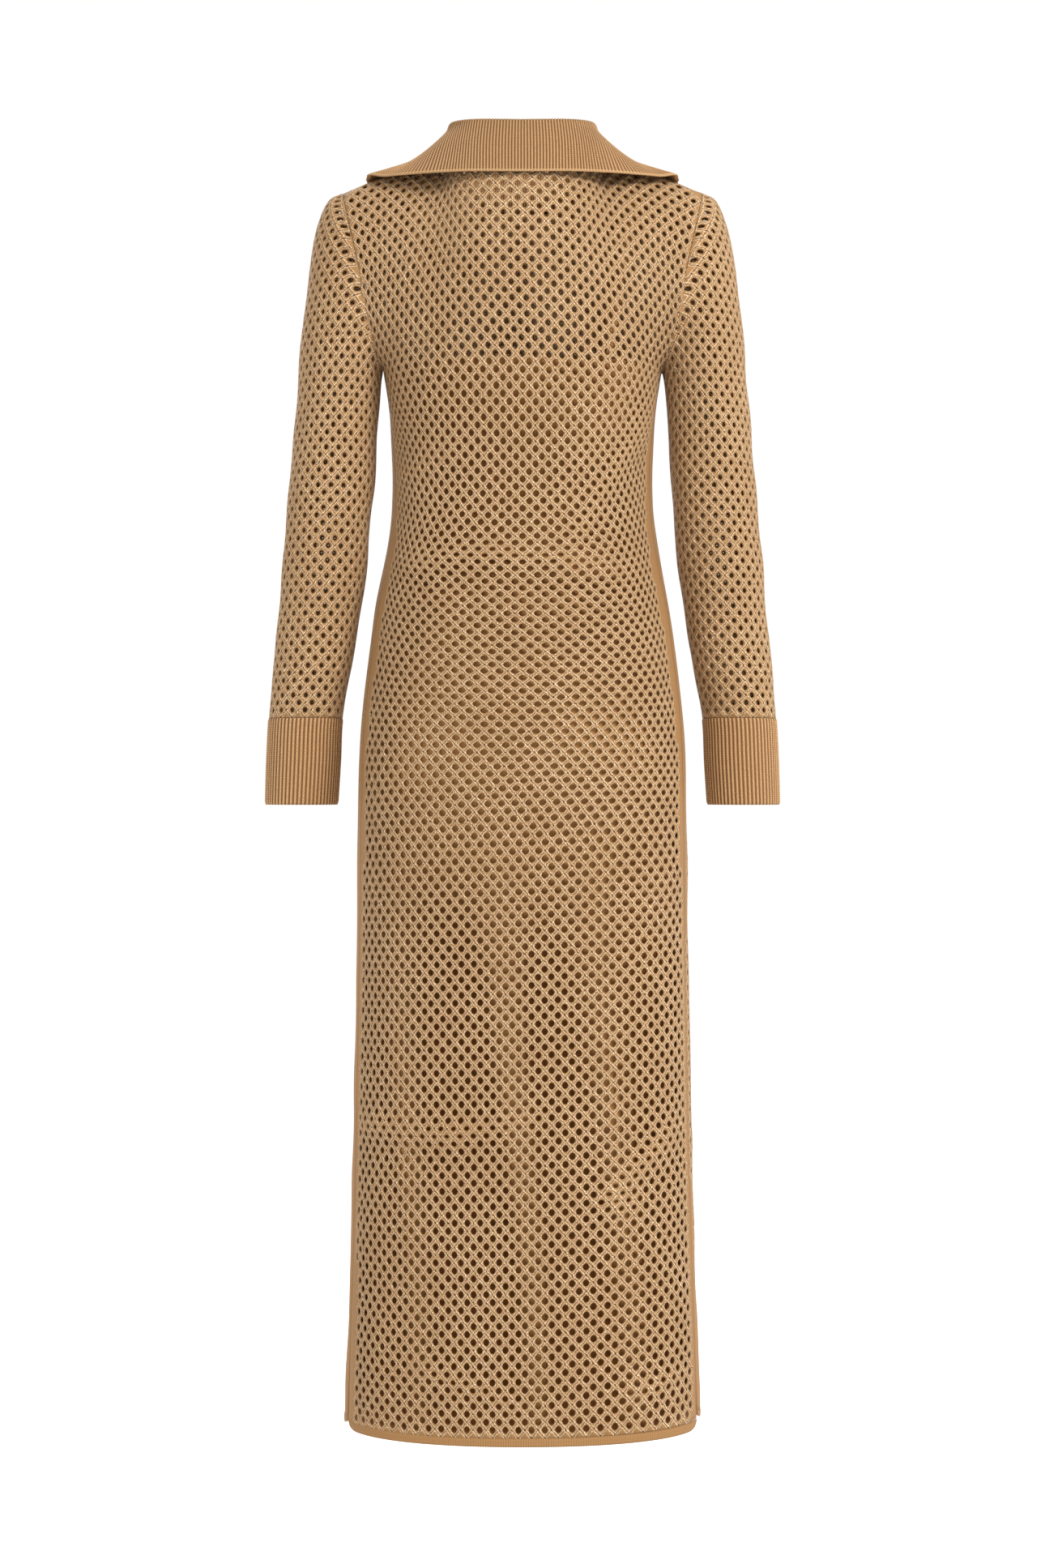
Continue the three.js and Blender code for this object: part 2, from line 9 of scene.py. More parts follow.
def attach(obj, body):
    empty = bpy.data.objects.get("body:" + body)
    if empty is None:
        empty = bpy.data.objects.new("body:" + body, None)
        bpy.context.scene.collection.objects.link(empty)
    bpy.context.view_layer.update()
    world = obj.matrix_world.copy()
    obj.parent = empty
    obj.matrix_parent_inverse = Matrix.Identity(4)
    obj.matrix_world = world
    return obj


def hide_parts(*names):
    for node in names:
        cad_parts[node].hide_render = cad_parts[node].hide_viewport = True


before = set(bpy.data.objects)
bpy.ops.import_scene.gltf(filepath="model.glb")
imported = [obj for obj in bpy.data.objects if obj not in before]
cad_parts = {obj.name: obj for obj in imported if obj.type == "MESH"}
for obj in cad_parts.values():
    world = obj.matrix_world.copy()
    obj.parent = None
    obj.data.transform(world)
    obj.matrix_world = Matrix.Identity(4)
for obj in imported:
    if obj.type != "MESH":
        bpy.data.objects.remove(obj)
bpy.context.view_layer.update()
mm = 0.001  # every size below is in millimetres, in the model's own frame
print("frame loaded")


# Tables: the first column is the place, the others are read between its rows by a smooth cubic
def makeTable(names, *rows):
    ordered = sorted(rows)
    table = {name: [row[index] for row in ordered] for index, name in enumerate(names)}
    table["places"] = table[names[0]]
    table["known"] = {}
    return table


def readTable(table, column, place):
    if (column, place) not in table["known"]:
        places, values = table["places"], table[column]
        last = len(places) - 1
        start = min(max(bisect.bisect_left(places, place) - 1, 0), last - 1)
        end, before, after = start + 1, max(start - 1, 0), min(start + 2, last)
        span = places[end] - places[start]
        share = (place - places[start]) / span
        slopeIn = (values[end] - values[before]) / (places[end] - places[before]) * span
        slopeOut = (values[after] - values[start]) / (places[after] - places[start]) * span
        square, cube = share ** 2, share ** 3
        table["known"][column, place] = (
            (2 * cube - 3 * square + 1) * values[start] + (cube - 2 * square + share) * slopeIn
            + (3 * square - 2 * cube) * values[end] + (cube - square) * slopeOut)
    return table["known"][column, place]


def smoothStep(place, low, high):
    share = min(max((place - low) / (high - low), 0), 1)
    return share * share * (3 - 2 * share)


def mix(first, second, share):
    return first + (second - first) * share


def steps(first, last, count):
    return [mix(first, last, index / count) for index in range(count + 1)]


# The place between 0 and 1 at which isBefore turns false, found by halving
def findPlace(isBefore, halvings):
    low, high = 0.0, 1.0
    for _ in range(halvings):
        middle = (low + high) / 2
        if isBefore(middle):
            low = middle
        else:
            high = middle
    return (low + high) / 2


# A smooth curve from the second of four points to the third
def curve(p0, p1, p2, p3, share):
    return 0.5 * (2 * p1 + (p2 - p0) * share + (2 * p0 - 5 * p1 + 4 * p2 - p3) * share ** 2
                  + (3 * p1 - p0 - 3 * p2 + p3) * share ** 3)


# The dress body, as in the model's source: sections, neckline, armholes and side seams
body = {
    "fullness": 0.035,
    "seamTurn": math.radians(16), "seamTurnFrom": -212, "seamTurnTo": -320,
    "ventTop": -1208, "ventHalfOpening": 0.016,
    "hem": -1300, "bandHeight": 8.5, "seamGap": 0.36,
    "frontHemRise": 4, "frontHemTilt": 3,
    "sections": makeTable(
        ("height", "halfWidth", "back", "front"),
        (-1310, 185, 111, 110), (-1256, 183, 110, 109), (-1121, 178.5, 108, 108), (-1004, 175.5, 108, 108),
        (-836, 172.3, 112, 110), (-702, 170.5, 119, 111), (-595, 168.4, 120, 108), (-530, 162, 113, 104),
        (-465, 153.3, 102, 100), (-400, 141, 90, 96), (-365, 136.2, 86, 97), (-330, 134.5, 86, 101),
        (-295, 135.5, 90, 109), (-265, 137, 95, 114), (-240, 140, 98, 113), (-212, 144.5, 100, 108)),
}
neckline = {
    "halfWidth": 78, "sideHeight": 6, "sideDepth": 8, "backDepth": 58, "backHeight": 1.5,
    "frontDepth": -68, "frontHeight": -38, "shoulderBow": 4, "backShare": 0.45, "frontShare": 0.6,
}
armhole = {
    "tip": Vector((186, 0, -29)), "low": Vector((144.5, 0, -212)), "halfDepth": 58, "pull": 3,
    "backBow": (20, 34), "frontBow": (2, 32), "bowWidth": 0.6, "bowLean": 0.75,
}
armholeMiddle = (armhole["tip"] + armhole["low"]) / 2
armholeUp = (armhole["tip"] - armhole["low"]).normalized()
armholeOut = Vector((armholeUp.z, 0, -armholeUp.x))
armholeHalfLength = (armhole["tip"] - armhole["low"]).length / 2


# Facing is 1 on the back of the dress and -1 on its front
def faceName(facing):
    return "back" if facing > 0 else "front"


def halfGap(facing):
    return Vector((0, facing * body["seamGap"] / 2, 0))


def mirrored(point, side):
    return Vector((point.x * side, point.y, point.z))


def sectionPoint(height, turn, inset=0):
    halfWidth = readTable(body["sections"], "halfWidth", height) - inset
    depth = readTable(body["sections"], faceName(math.cos(turn)), height) - inset
    full = 1 + body["fullness"] * math.sin(2 * turn) ** 2
    return Vector((halfWidth * math.sin(turn) * full, depth * math.cos(turn) * full, height))


def sideTurn(facing, height):
    seam = body["seamTurn"] * (1 - smoothStep(height, body["seamTurnTo"], body["seamTurnFrom"]))
    vent = body["ventHalfOpening"] * (1 - smoothStep(height, body["hem"], body["ventTop"]))
    return math.pi / 2 - facing * seam - vent


def turnAcross(facing, across, height):
    turn = across * sideTurn(facing, height)
    return turn if facing > 0 else math.pi - turn


def armholePoint(turn):
    point = armholeMiddle + armholeUp * (armholeHalfLength * math.cos(turn))
    point.y = armhole["halfDepth"] * math.sin(turn)
    return point


def neckPoint(facing, share):
    turn, middle = share * math.pi / 2, faceName(facing)
    return Vector((
        neckline["halfWidth"] * math.sin(turn),
        mix(neckline["sideDepth"], neckline[middle + "Depth"], math.cos(turn)),
        mix(neckline["sideHeight"], neckline[middle + "Height"], math.cos(turn))))


def topPoint(facing, across):
    place = min(abs(across), 1)
    neck = neckline[faceName(facing) + "Share"]
    point = neckPoint(facing, min(place / neck, 1))
    if place > neck:
        share = (place - neck) / (1 - neck)
        point = mix(point, armhole["tip"], share)
        point.z += neckline["shoulderBow"] * math.sin(math.pi * share)
    return Vector((math.copysign(point.x, across), point.y, point.z))


def armholeShift(down):
    return armholePoint(math.pi * down) - mix(armhole["tip"], armhole["low"], down)


def chestPoint(facing, across, down):
    place = min(abs(across), 1)
    lowHeight = armhole["low"].z
    low = sectionPoint(lowHeight, turnAcross(facing, across, lowHeight))
    point = mix(topPoint(facing, across), low, down)
    nearArm, shift = place ** armhole["pull"], armholeShift(down)
    point += Vector((math.copysign(shift.x, across), facing * shift.y, shift.z)) * nearArm
    bow = armhole[faceName(facing) + "Bow"]
    rise = mix(bow[0], bow[1], smoothStep(place, 0, armhole["bowWidth"]))
    point.y += facing * (1 - nearArm) * rise * math.sin(math.pi * down ** armhole["bowLean"])
    return point


def chestNormal(facing, across, down, step=0.01):
    left, right = min(across + step, 1), max(across - step, -1)
    low, high = min(down + step, 1), max(down - step, 0)
    toSide = chestPoint(facing, left, down) - chestPoint(facing, right, down)
    toHem = chestPoint(facing, across, low) - chestPoint(facing, across, high)
    out = toSide.cross(toHem).normalized()
    hint = Vector((across ** 3, facing * 0.6, 0.12))
    return out if out.dot(hint) > 0 else -out


def chestDown(facing, across, height):
    topHeight, lowHeight = topPoint(facing, across).z, armhole["low"].z
    nearArm = min(abs(across), 1) ** armhole["pull"]
    return findPlace(
        lambda down: mix(topHeight, lowHeight, down) + nearArm * armholeShift(down).z > height, halvings=18)


# Creases of the cloth: a line from one point to another as seen from behind, its width, its rise, and how
# far it draws the holes in
def crease(x1, z1, x2, z2, width, rise, gather):
    return {"from": (x1, z1), "to": (x2, z2), "width": width, "rise": rise, "gather": gather}


creases = {
    "back": [
        crease(164, -984, 64, -992, 12, 2.9, 0.3), crease(80, -990, -12, -972, 11, 2.4, 0.27),
        crease(150, -1010, 30, -1014, 9, -1.8, 0), crease(-78, -1060, -150, -990, 12, 3, 0.32),
        crease(-84, -1052, -118, -1066, 12, 2.4, 0.29), crease(-96, -1084, -160, -1018, 9, -1.8, 0),
        crease(108, -1222, 58, -1238, 10, 2.4, 0.2), crease(62, -1236, 6, -1258, 10, 2.4, 0.18),
        crease(-104, -1252, -156, -1238, 10, 2.6, 0.22), crease(118, -418, 20, -408, 12, 2.7, 0.22),
        crease(30, -409, -104, -420, 11, 2.4, 0.22), crease(116, -436, -90, -440, 9, -1.8, 0),
        crease(-44, -404, -126, -262, 12, 2.7, 0.22), crease(-62, -404, -130, -300, 9, -1.8, 0),
        crease(-20, -370, -104, -236, 13, 1.9, 0.11), crease(126, -330, 62, -300, 11, 2.1, 0.14),
        crease(120, -372, 40, -352, 10, -1.6, 0.07), crease(96, -700, 20, -712, 12, 1.6, 0.11),
    ],
    "front": [
        crease(-164, -1010, -66, -1022, 12, 2.7, 0.25), crease(96, -1060, 156, -1000, 12, 2.6, 0.25),
        crease(-84, -1236, -10, -1258, 10, 2.4, 0.22), crease(108, -424, 10, -418, 12, 2.2, 0.18),
        crease(-40, -404, -122, -268, 12, 2.4, 0.18), crease(40, -400, 124, -276, 12, 2.2, 0.18),
    ],
    # Shares of its length at which a crease starts, is whole, begins to sink and has ended
    "fade": (-0.25, 0.2, 0.8, 1.25),
}


def creaseSum(facing, key, x, z):
    start, whole, sinking, end = creases["fade"]
    total = 0
    for row in creases[faceName(facing)]:
        (x1, z1), (x2, z2) = row["from"], row["to"]
        dx, dz = x2 - x1, z2 - z1
        along = ((x - x1) * dx + (z - z1) * dz) / (dx * dx + dz * dz)
        if start < along < end:
            away = ((x - x1) * dz - (z - z1) * dx) / math.hypot(dx, dz)
            fade = smoothStep(along, start, whole) * (1 - smoothStep(along, sinking, end))
            total += row[key] * fade * math.exp(-(away / row["width"]) ** 2)
    return total


def softSway(point, size, amount):
    return amount * noise.noise(point / size)


# The panels' surface: the chest is evened out across, creases and sway fade towards the seams, hem and neck
surface = {
    "evenReach": 0.09, "evenSides": (0.75, 0.9), "evenTop": (0.04, 0.3), "swaySize": 70, "sway": 1.6,
    "deepest": -1.6, "calmSides": (0.86, 0.97), "calmHem": 40, "calmTop": (-120, -40), "flatness": 1.6,
}


def panelPoint(facing, across, height):
    if height > armhole["low"].z:
        down = chestDown(facing, across, height)
        reach = surface["evenReach"] * (1 - smoothStep(abs(across), *surface["evenSides"]))
        reach *= smoothStep(down, *surface["evenTop"])
        beside = chestPoint(facing, across - reach, down) + chestPoint(facing, across + reach, down)
        point = (2 * chestPoint(facing, across, down) + beside) / 4
    else:
        point = sectionPoint(height, turnAcross(facing, across, height))
    calm = 1 - smoothStep(abs(across), *surface["calmSides"])
    calm *= smoothStep(point.z, body["hem"], body["hem"] + surface["calmHem"])
    calm *= 1 - smoothStep(point.z, *surface["calmTop"])
    sway = softSway(point, surface["swaySize"], surface["sway"])
    rise = max(creaseSum(facing, "rise", point.x, point.z) + sway, surface["deepest"])
    outward = Vector((point.x / surface["flatness"], point.y, 0)).normalized()
    return point + outward * (rise * calm) + halfGap(facing)


def hemAt(facing, across):
    if facing > 0:
        return body["hem"]
    return body["hem"] + body["frontHemRise"] - body["frontHemTilt"] * across


# A flat grid, each cell one unit wide and high
def gridMesh(columns, rows):
    bm = bmesh.new()
    bmesh.ops.create_grid(bm, x_segments=columns, y_segments=rows, size=0.5)
    bmesh.ops.translate(bm, verts=bm.verts, vec=(0.5, 0.5, 0))
    bmesh.ops.scale(bm, verts=bm.verts, vec=(columns, rows, 1))
    return bm


# The open knit is a lattice: holes stand at every other crossing of its half columns and rows
net = {
    "unit": 7.35, "wall": 1.7, "holeCut": 0.42, "holeReach": 0.45, "rim": (0.05, 0.7),
    "onAxis": 1.04, "offAxis": 1.0, "tiny": 0.05,
}


def latticeMesh(columns, rows, keepCell, isHole, holeRadius):
    bm = gridMesh(columns, rows)
    outside = [f for f in bm.faces if not keepCell(*[round(c * 2) / 2 for c in f.calc_center_median()[:2]])]
    bmesh.ops.delete(bm, geom=outside, context="FACES")
    holes = {}
    for v in bm.verts:
        column, row = round(v.co.x), round(v.co.y)
        if (column + row) % 2 == 0 and len(v.link_faces) == 4 and isHole(column, row):
            holes[column, row] = v
    bmesh.ops.bevel(bm, geom=list(holes.values()), offset=net["holeCut"], offset_type="OFFSET",
                    affect="VERTICES", segments=2, profile=0.5, material=-1)
    holeFaces = []
    for f in bm.faces:
        centre = f.calc_center_median()
        nearest = (round(centre.x), round(centre.y))
        if nearest in holes and (centre.xy - Vector(nearest)).length < net["holeReach"]:
            holeFaces.append(f)
    bmesh.ops.delete(bm, geom=holeFaces, context="FACES")
    for v in bm.verts:
        nearest = (round(v.co.x), round(v.co.y))
        away = v.co.xy - Vector(nearest)
        if nearest in holes and net["rim"][0] < away.length < net["rim"][1]:
            wide, tall = holeRadius(*nearest)
            away.normalize()
            point = mix(net["onAxis"], net["offAxis"], 2 * abs(away.x * away.y))
            v.co = Vector((nearest[0] + away.x * wide * point, nearest[1] + away.y * tall * point, 0))
    return bm, set(holes)


# Turns a flat mesh into cloth: its stitches' coordinates, its place, its outer side and its thickness
def finishCloth(name, bm, placeOf, outwardOf, wall, materials, isSecond=None, uv=(1, 1, 0), merge=0, tiny=0):
    uvLayer = bm.loops.layers.uv.new("knit")
    uvAcross, uvAlong, uvStart = uv
    for f in bm.faces:
        f.smooth = True
        f.material_index = 1 if isSecond and isSecond(f.calc_center_median()) else 0
        for loop in f.loops:
            loop[uvLayer].uv = (loop.vert.co.x * uvAcross + uvStart, loop.vert.co.y * uvAlong)
    for v in bm.verts:
        v.co = placeOf(v.co.x, v.co.y) * mm
    if merge:
        bmesh.ops.remove_doubles(bm, verts=bm.verts, dist=merge * mm)
    if tiny:
        bmesh.ops.dissolve_degenerate(bm, edges=bm.edges, dist=tiny * mm)
    bm.normal_update()
    votes = sum(f.normal.dot(outwardOf(f.calc_center_median() / mm)) for f in list(bm.faces)[::37])
    if votes < 0:
        bmesh.ops.reverse_faces(bm, faces=bm.faces)
    mesh = bpy.data.meshes.new(name)
    bm.to_mesh(mesh)
    bm.free()
    for material in materials:
        mesh.materials.append(material)
    piece = bpy.data.objects.new(name, mesh)
    bpy.context.collection.objects.link(piece)
    thicken = piece.modifiers.new("thickness", "SOLIDIFY")
    thicken.thickness = wall * mm
    thicken.offset = -1
    return piece


def declare(piece, node):
    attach(piece, "root")
    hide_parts(node)
    print("made", piece.name, len(piece.data.polygons), "faces")


# A number in a material: each sum, product or range of it adds a node
class Value:
    def __init__(self, tree, socket):
        self.tree = tree
        self.socket = socket

    def put(self, operation, *others):
        node = self.tree.nodes.new("ShaderNodeMath")
        node.operation = operation
        for socket, value in zip(node.inputs, (self, *others)):
            if isinstance(value, Value):
                self.tree.links.new(value.socket, socket)
            else:
                socket.default_value = value
        return Value(self.tree, node.outputs[0])

    def __add__(self, other):
        return self.put("ADD", other)

    def __sub__(self, other):
        return self.put("SUBTRACT", other)

    def __mul__(self, other):
        return self.put("MULTIPLY", other)

    def __abs__(self):
        return self.put("ABSOLUTE")

    # Its sine or cosine, with a swing and a middle
    def wave(self, operation, swing, middle):
        return self.put(operation) * swing + middle

    # Rises smoothly from 0 at the first number to 1 at the second
    def between(self, low, high):
        node = self.tree.nodes.new("ShaderNodeMapRange")
        node.interpolation_type = "SMOOTHSTEP"
        node.inputs["From Min"].default_value = low
        node.inputs["From Max"].default_value = high
        self.tree.links.new(self.socket, node.inputs["Value"])
        return Value(self.tree, node.outputs["Result"])


def addMix(tree, share, first, second):
    node = tree.nodes.new("ShaderNodeMix")
    node.data_type = "RGBA"
    tree.links.new(share.socket, node.inputs[0])
    sockets = [s for s in node.inputs if s.type == "RGBA"]
    for socket, colour in zip(sockets, (first, second)):
        if isinstance(colour, tuple):
            socket.default_value = (*colour, 1)
        else:
            tree.links.new(colour, socket)
    return [s for s in node.outputs if s.type == "RGBA"][0]


def addNoise(tree, vector, detail):
    texture = tree.nodes.new("ShaderNodeTexNoise")
    texture.inputs["Detail"].default_value = detail
    tree.links.new(vector, texture.inputs["Vector"])
    return texture


def splitVector(tree, vector):
    node = tree.nodes.new("ShaderNodeSeparateXYZ")
    tree.links.new(vector, node.inputs[0])
    return [Value(tree, output) for output in node.outputs]


# A group takes a vector and its numbers, and puts out masks and heights
def openGroup(name, numbers):
    group = bpy.data.node_groups.new(name, "ShaderNodeTree")
    group.interface.new_socket("Vector", in_out="INPUT", socket_type="NodeSocketVector")
    for number, value in numbers.items():
        socket = group.interface.new_socket(number, in_out="INPUT", socket_type="NodeSocketFloat")
        socket.default_value = value
    inside = group.nodes.new("NodeGroupInput")
    values = {number: Value(group, inside.outputs[number]) for number in numbers}
    return group, inside.outputs["Vector"], values


def closeGroup(group, **values):
    for name in values:
        group.interface.new_socket(name, in_out="OUTPUT", socket_type="NodeSocketFloat")
    outside = group.nodes.new("NodeGroupOutput")
    for name, value in values.items():
        group.links.new(value.socket, outside.inputs[name])
    return group


# Yarn lines of the open knit: pairs of twisted lines on both diagonals, one over the other, with small eyes.
# The lines and their twist are painted highlights on the yarn, the under lines are dimmed by painted shade,
# and the eyes at the crossings and the grooves between paired lines are painted shade
lattice = {
    "driftScale": 2.3, "apart": 0.22, "lineEdge": (0.14, 0.02), "lean": 9, "twistHighlight": (0.36, 0.72),
    "grooveEdge": (0.14, 0.03), "dash": (0.35, 0.6), "under": (0.2, 0.38), "underShade": 0.78,
    "grooveShade": 0.6, "eyeEdge": (0.27, 0.1),
}


def makeLatticeGroup():
    group, vector, numbers = openGroup("knit lattice", {"Stitches": 1.9, "Uneven": 0.44})
    texture = addNoise(group, vector, 3)
    texture.inputs["Scale"].default_value = lattice["driftScale"]
    drift, split = splitVector(group, texture.outputs["Color"]), splitVector(group, vector)
    column, row = [split[axis] + (drift[axis] - 0.5) * numbers["Uneven"] for axis in (0, 1)]
    total, gap = column + row, column - row
    turn = numbers["Stitches"] * (2 * math.pi)
    strands = []
    for across, along in ((total, gap), (gap, total)):
        signed = across.put("WRAP", 2, 0) - 1
        near = abs(signed)
        phase = along * turn + signed * lattice["lean"]
        offLine = abs(near - lattice["apart"])
        strands.append({
            "near": near,
            "line": offLine.between(*lattice["lineEdge"]) * phase.wave("SINE", *lattice["twistHighlight"]),
            "paintedGrooveShade": near.between(*lattice["grooveEdge"]) * phase.wave("COSINE", *lattice["dash"])})
    under, over = strands
    shown = over["near"].between(*lattice["under"])
    # Painted shade: the under strand's highlight is dimmed, and hidden where the other strand passes over it
    line = (under["line"] * shown * lattice["underShade"]).put("MAXIMUM", over["line"])
    # Painted shade in the recesses: the grooves between paired lines, and the eyes where the strands cross
    paintedGrooveShade = (under["paintedGrooveShade"] * shown).put("MAXIMUM", over["paintedGrooveShade"]) * lattice["grooveShade"]
    reach = (under["near"] * under["near"] + over["near"] * over["near"]).put("SQRT")
    recessShadeMask = reach.between(*lattice["eyeEdge"]).put("MAXIMUM", paintedGrooveShade)
    return closeGroup(group, Line=line, Dark=recessShadeMask, Height=line - recessShadeMask)


# Plain knit: columns of small V stitches, one column for each unit across; the grooves between columns are
# the mask for painted shade
plainStitch = {"legs": 0.22, "legEdge": (0.26, 0.04), "bead": (0.325, 0.675), "grooveEdge": (0.26, 0.46)}


def makeStitchGroup():
    group, vector, numbers = openGroup("knit stitches", {"Slant": 0.9})
    across, along, _ = splitVector(group, vector)
    side = abs(across.put("FRACT") - 0.5)
    slanted = along - side * numbers["Slant"]
    bead = (slanted * (2 * math.pi)).wave("SINE", *plainStitch["bead"])
    leg = abs(side - plainStitch["legs"]).between(*plainStitch["legEdge"])
    return closeGroup(group, Height=bead * leg, Groove=side.between(*plainStitch["grooveEdge"]))


# Ribs: each unit across is a rope of slanted stitches, parted from the next by a groove; the rope's height is
# also the mask for its painted highlight and shade, and the groove the mask for painted shade
rope = {"edge": (0.4, 0.06), "bead": (0.42, 0.58), "grooveEdge": (0.2, 0.42), "grooveBead": (-0.2, 0.8)}


def makeRopeGroup():
    group, vector, numbers = openGroup("rib ropes", {"Slant": 1.1})
    across, along, _ = splitVector(group, vector)
    signed = across.put("FRACT") - 0.5
    side = abs(signed)
    phase = (signed * numbers["Slant"] + along) * (2 * math.pi)
    height = side.between(*rope["edge"]) * phase.wave("SINE", *rope["bead"])
    paintedGrooveShade = side.between(*rope["grooveEdge"]) * phase.wave("SINE", *rope["grooveBead"])
    return closeGroup(group, Height=height, Groove=paintedGrooveShade)


# Fibre: fine speckle and broad unevenness of the yarn's shade
def makeFibreGroup():
    group, vector, numbers = openGroup("yarn fibre", {"Fine": 900.0, "Broad": 9.0})
    masks = []
    for number, detail, low, high in (("Fine", 3, 0.38, 0.64), ("Broad", 2, 0.35, 0.65)):
        texture = addNoise(group, vector, detail)
        group.links.new(numbers[number].socket, texture.inputs["Scale"])
        masks.append(Value(group, texture.outputs["Fac"]).between(low, high))
    return closeGroup(group, Speck=masks[0], Shade=masks[1])


latticeGroup, stitchGroup = makeLatticeGroup(), makeStitchGroup()
ropeGroup, fibreGroup = makeRopeGroup(), makeFibreGroup()


def placeGroup(tree, group, vector, **values):
    node = tree.nodes.new("ShaderNodeGroup")
    node.node_tree = group
    tree.links.new(vector, node.inputs["Vector"])
    for name, value in values.items():
        node.inputs[name].default_value = value
    return {output.name: Value(tree, output) for output in node.outputs}


# Stitches follow the cloth's own columns and rows
def placeStitches(tree, group, scale=(1, 1, 1)):
    uvMap = tree.nodes.new("ShaderNodeUVMap")
    uvMap.uv_map = "knit"
    mapping = tree.nodes.new("ShaderNodeMapping")
    mapping.inputs["Scale"].default_value = scale
    tree.links.new(uvMap.outputs["UV"], mapping.inputs["Vector"])
    return placeGroup(tree, group, mapping.outputs["Vector"])


finish = {
    "specular": 0.12, "sheenRoughness": 0.45, "sheenTint": (1.0, 0.74, 0.48, 1),
    "shade": 0.14, "roughnessSwing": 0.12, "roughness": 0.56,
}


def newMaterial(name, roughness=0.6, sheen=0.06, **fibreSizes):
    material = bpy.data.materials.new(name)
    material.use_nodes = True
    tree = material.node_tree
    shader = tree.nodes["Principled BSDF"]
    shader.inputs["Roughness"].default_value = roughness
    shader.inputs["Specular IOR Level"].default_value = finish["specular"]
    shader.inputs["Sheen Weight"].default_value = sheen
    shader.inputs["Sheen Roughness"].default_value = finish["sheenRoughness"]
    shader.inputs["Sheen Tint"].default_value = finish["sheenTint"]
    objectPlace = tree.nodes.new("ShaderNodeTexCoord").outputs["Object"]
    return material, tree, shader, placeGroup(tree, fibreGroup, objectPlace, **fibreSizes)


# Broad shade and fine flecks darken the colour towards the deep one; bump is its depth and strength
def finishMaterial(tree, shader, fibre, colour, deep, height, bump, flecks=0.14):
    shaded = addMix(tree, fibre["Shade"] * finish["shade"], colour, deep)
    flecked = addMix(tree, fibre["Speck"] * flecks, shaded, deep)
    tree.links.new(flecked, shader.inputs["Base Color"])
    roughness = fibre["Speck"] * finish["roughnessSwing"] + finish["roughness"]
    tree.links.new(roughness.socket, shader.inputs["Roughness"])
    node = tree.nodes.new("ShaderNodeBump")
    node.inputs["Distance"].default_value = bump[0] * mm
    node.inputs["Strength"].default_value = bump[1]
    tree.links.new(height.socket, node.inputs["Height"])
    tree.links.new(node.outputs["Normal"], shader.inputs["Normal"])


# Yarn colours. The pale colour is a painted highlight on the open knit's yarn lines and the middle colour
# painted shade between them. The crossing, groove and slip's deep colours are painted shade. The rib and rib
# middle colours are painted highlight and painted shade on the ropes. The edge colour is painted paler than
# the plain colour, as a highlight on the rolled edge. The deep colour is the tone of random flecks and also
# painted shade in plain-knit grooves, and the slip's deep colour is its fleck tone as well
yarn = {
    "pale": (0.97, 0.745, 0.495), "shadedMid": (0.32, 0.175, 0.07), "deep": (0.24, 0.115, 0.038),
    "crossingShade": (0.04, 0.014, 0.003), "plain": (0.34, 0.185, 0.075), "edge": (0.50, 0.31, 0.155),
    "rib": (0.74, 0.47, 0.25), "ribShade": (0.34, 0.18, 0.075), "paintedGrooveShade": (0.075, 0.026, 0.005),
    "slip": (0.46, 0.235, 0.08), "slipPaintedShadeAndFleck": (0.17, 0.062, 0.011),
}


def makeNetMaterial():
    material, tree, shader, fibre = newMaterial("open knit")
    lines = placeStitches(tree, latticeGroup)
    # Painted light: the yarn lines take the pale highlight colour and the rest the shaded middle colour. The
    # crossings and grooves then darken to near-black painted shade
    lit = addMix(tree, lines["Line"], yarn["shadedMid"], yarn["pale"])
    withRecessShade = addMix(tree, lines["Dark"], lit, yarn["crossingShade"])
    height = fibre["Speck"] * 0.12 + lines["Height"]
    finishMaterial(tree, shader, fibre, withRecessShade, yarn["deep"], height, (0.7, 0.8), flecks=0.42)
    return material


def makePlainMaterial(name, scale, colour, paintedGrooveShade=0.45):
    material, tree, shader, fibre = newMaterial(name)
    stitches = placeStitches(tree, stitchGroup, scale)
    # Painted shade: the knit darkens towards the deep colour in the grooves between stitch columns
    withGrooveShade = addMix(tree, stitches["Groove"] * paintedGrooveShade, colour, yarn["deep"])
    height = fibre["Speck"] * 0.2 + stitches["Height"]
    finishMaterial(tree, shader, fibre, withGrooveShade, yarn["deep"], height, (0.35, 0.7))
    return material


def makeRibMaterial(name, courses, shade):
    material, tree, shader, fibre = newMaterial(name)
    stitches = placeStitches(tree, ropeGroup, (1, courses, 1))
    rib, ribShade = [tuple(value * shade for value in yarn[key]) for key in ("rib", "ribShade")]
    # Painted light: rope tops take the rib's highlight colour and their sides its shaded middle colour, and
    # the grooves darken to near-black painted shade
    lit = addMix(tree, stitches["Height"], ribShade, rib)
    withGrooveShade = addMix(tree, stitches["Groove"], lit, yarn["paintedGrooveShade"])
    height = fibre["Speck"] * 0.15 + stitches["Height"]
    finishMaterial(tree, shader, fibre, withGrooveShade, yarn["deep"], height, (0.6, 0.8), flecks=0.3)
    return material


# The slip has painted shade: its colour darkens the further it lies behind the knit, and is lightest where it
# touches the knit
def makeSlipMaterial():
    material, tree, shader, fibre = newMaterial("slip jersey", sheen=0.05)
    paintedLightShare = tree.nodes.new("ShaderNodeAttribute")
    paintedLightShare.attribute_name = "paintedLightShare"
    colour = addMix(tree, Value(tree, paintedLightShare.outputs["Fac"]), yarn["slipPaintedShadeAndFleck"], yarn["slip"])
    finishMaterial(tree, shader, fibre, colour, yarn["slipPaintedShadeAndFleck"], fibre["Speck"], (0.15, 0.3))
    return material


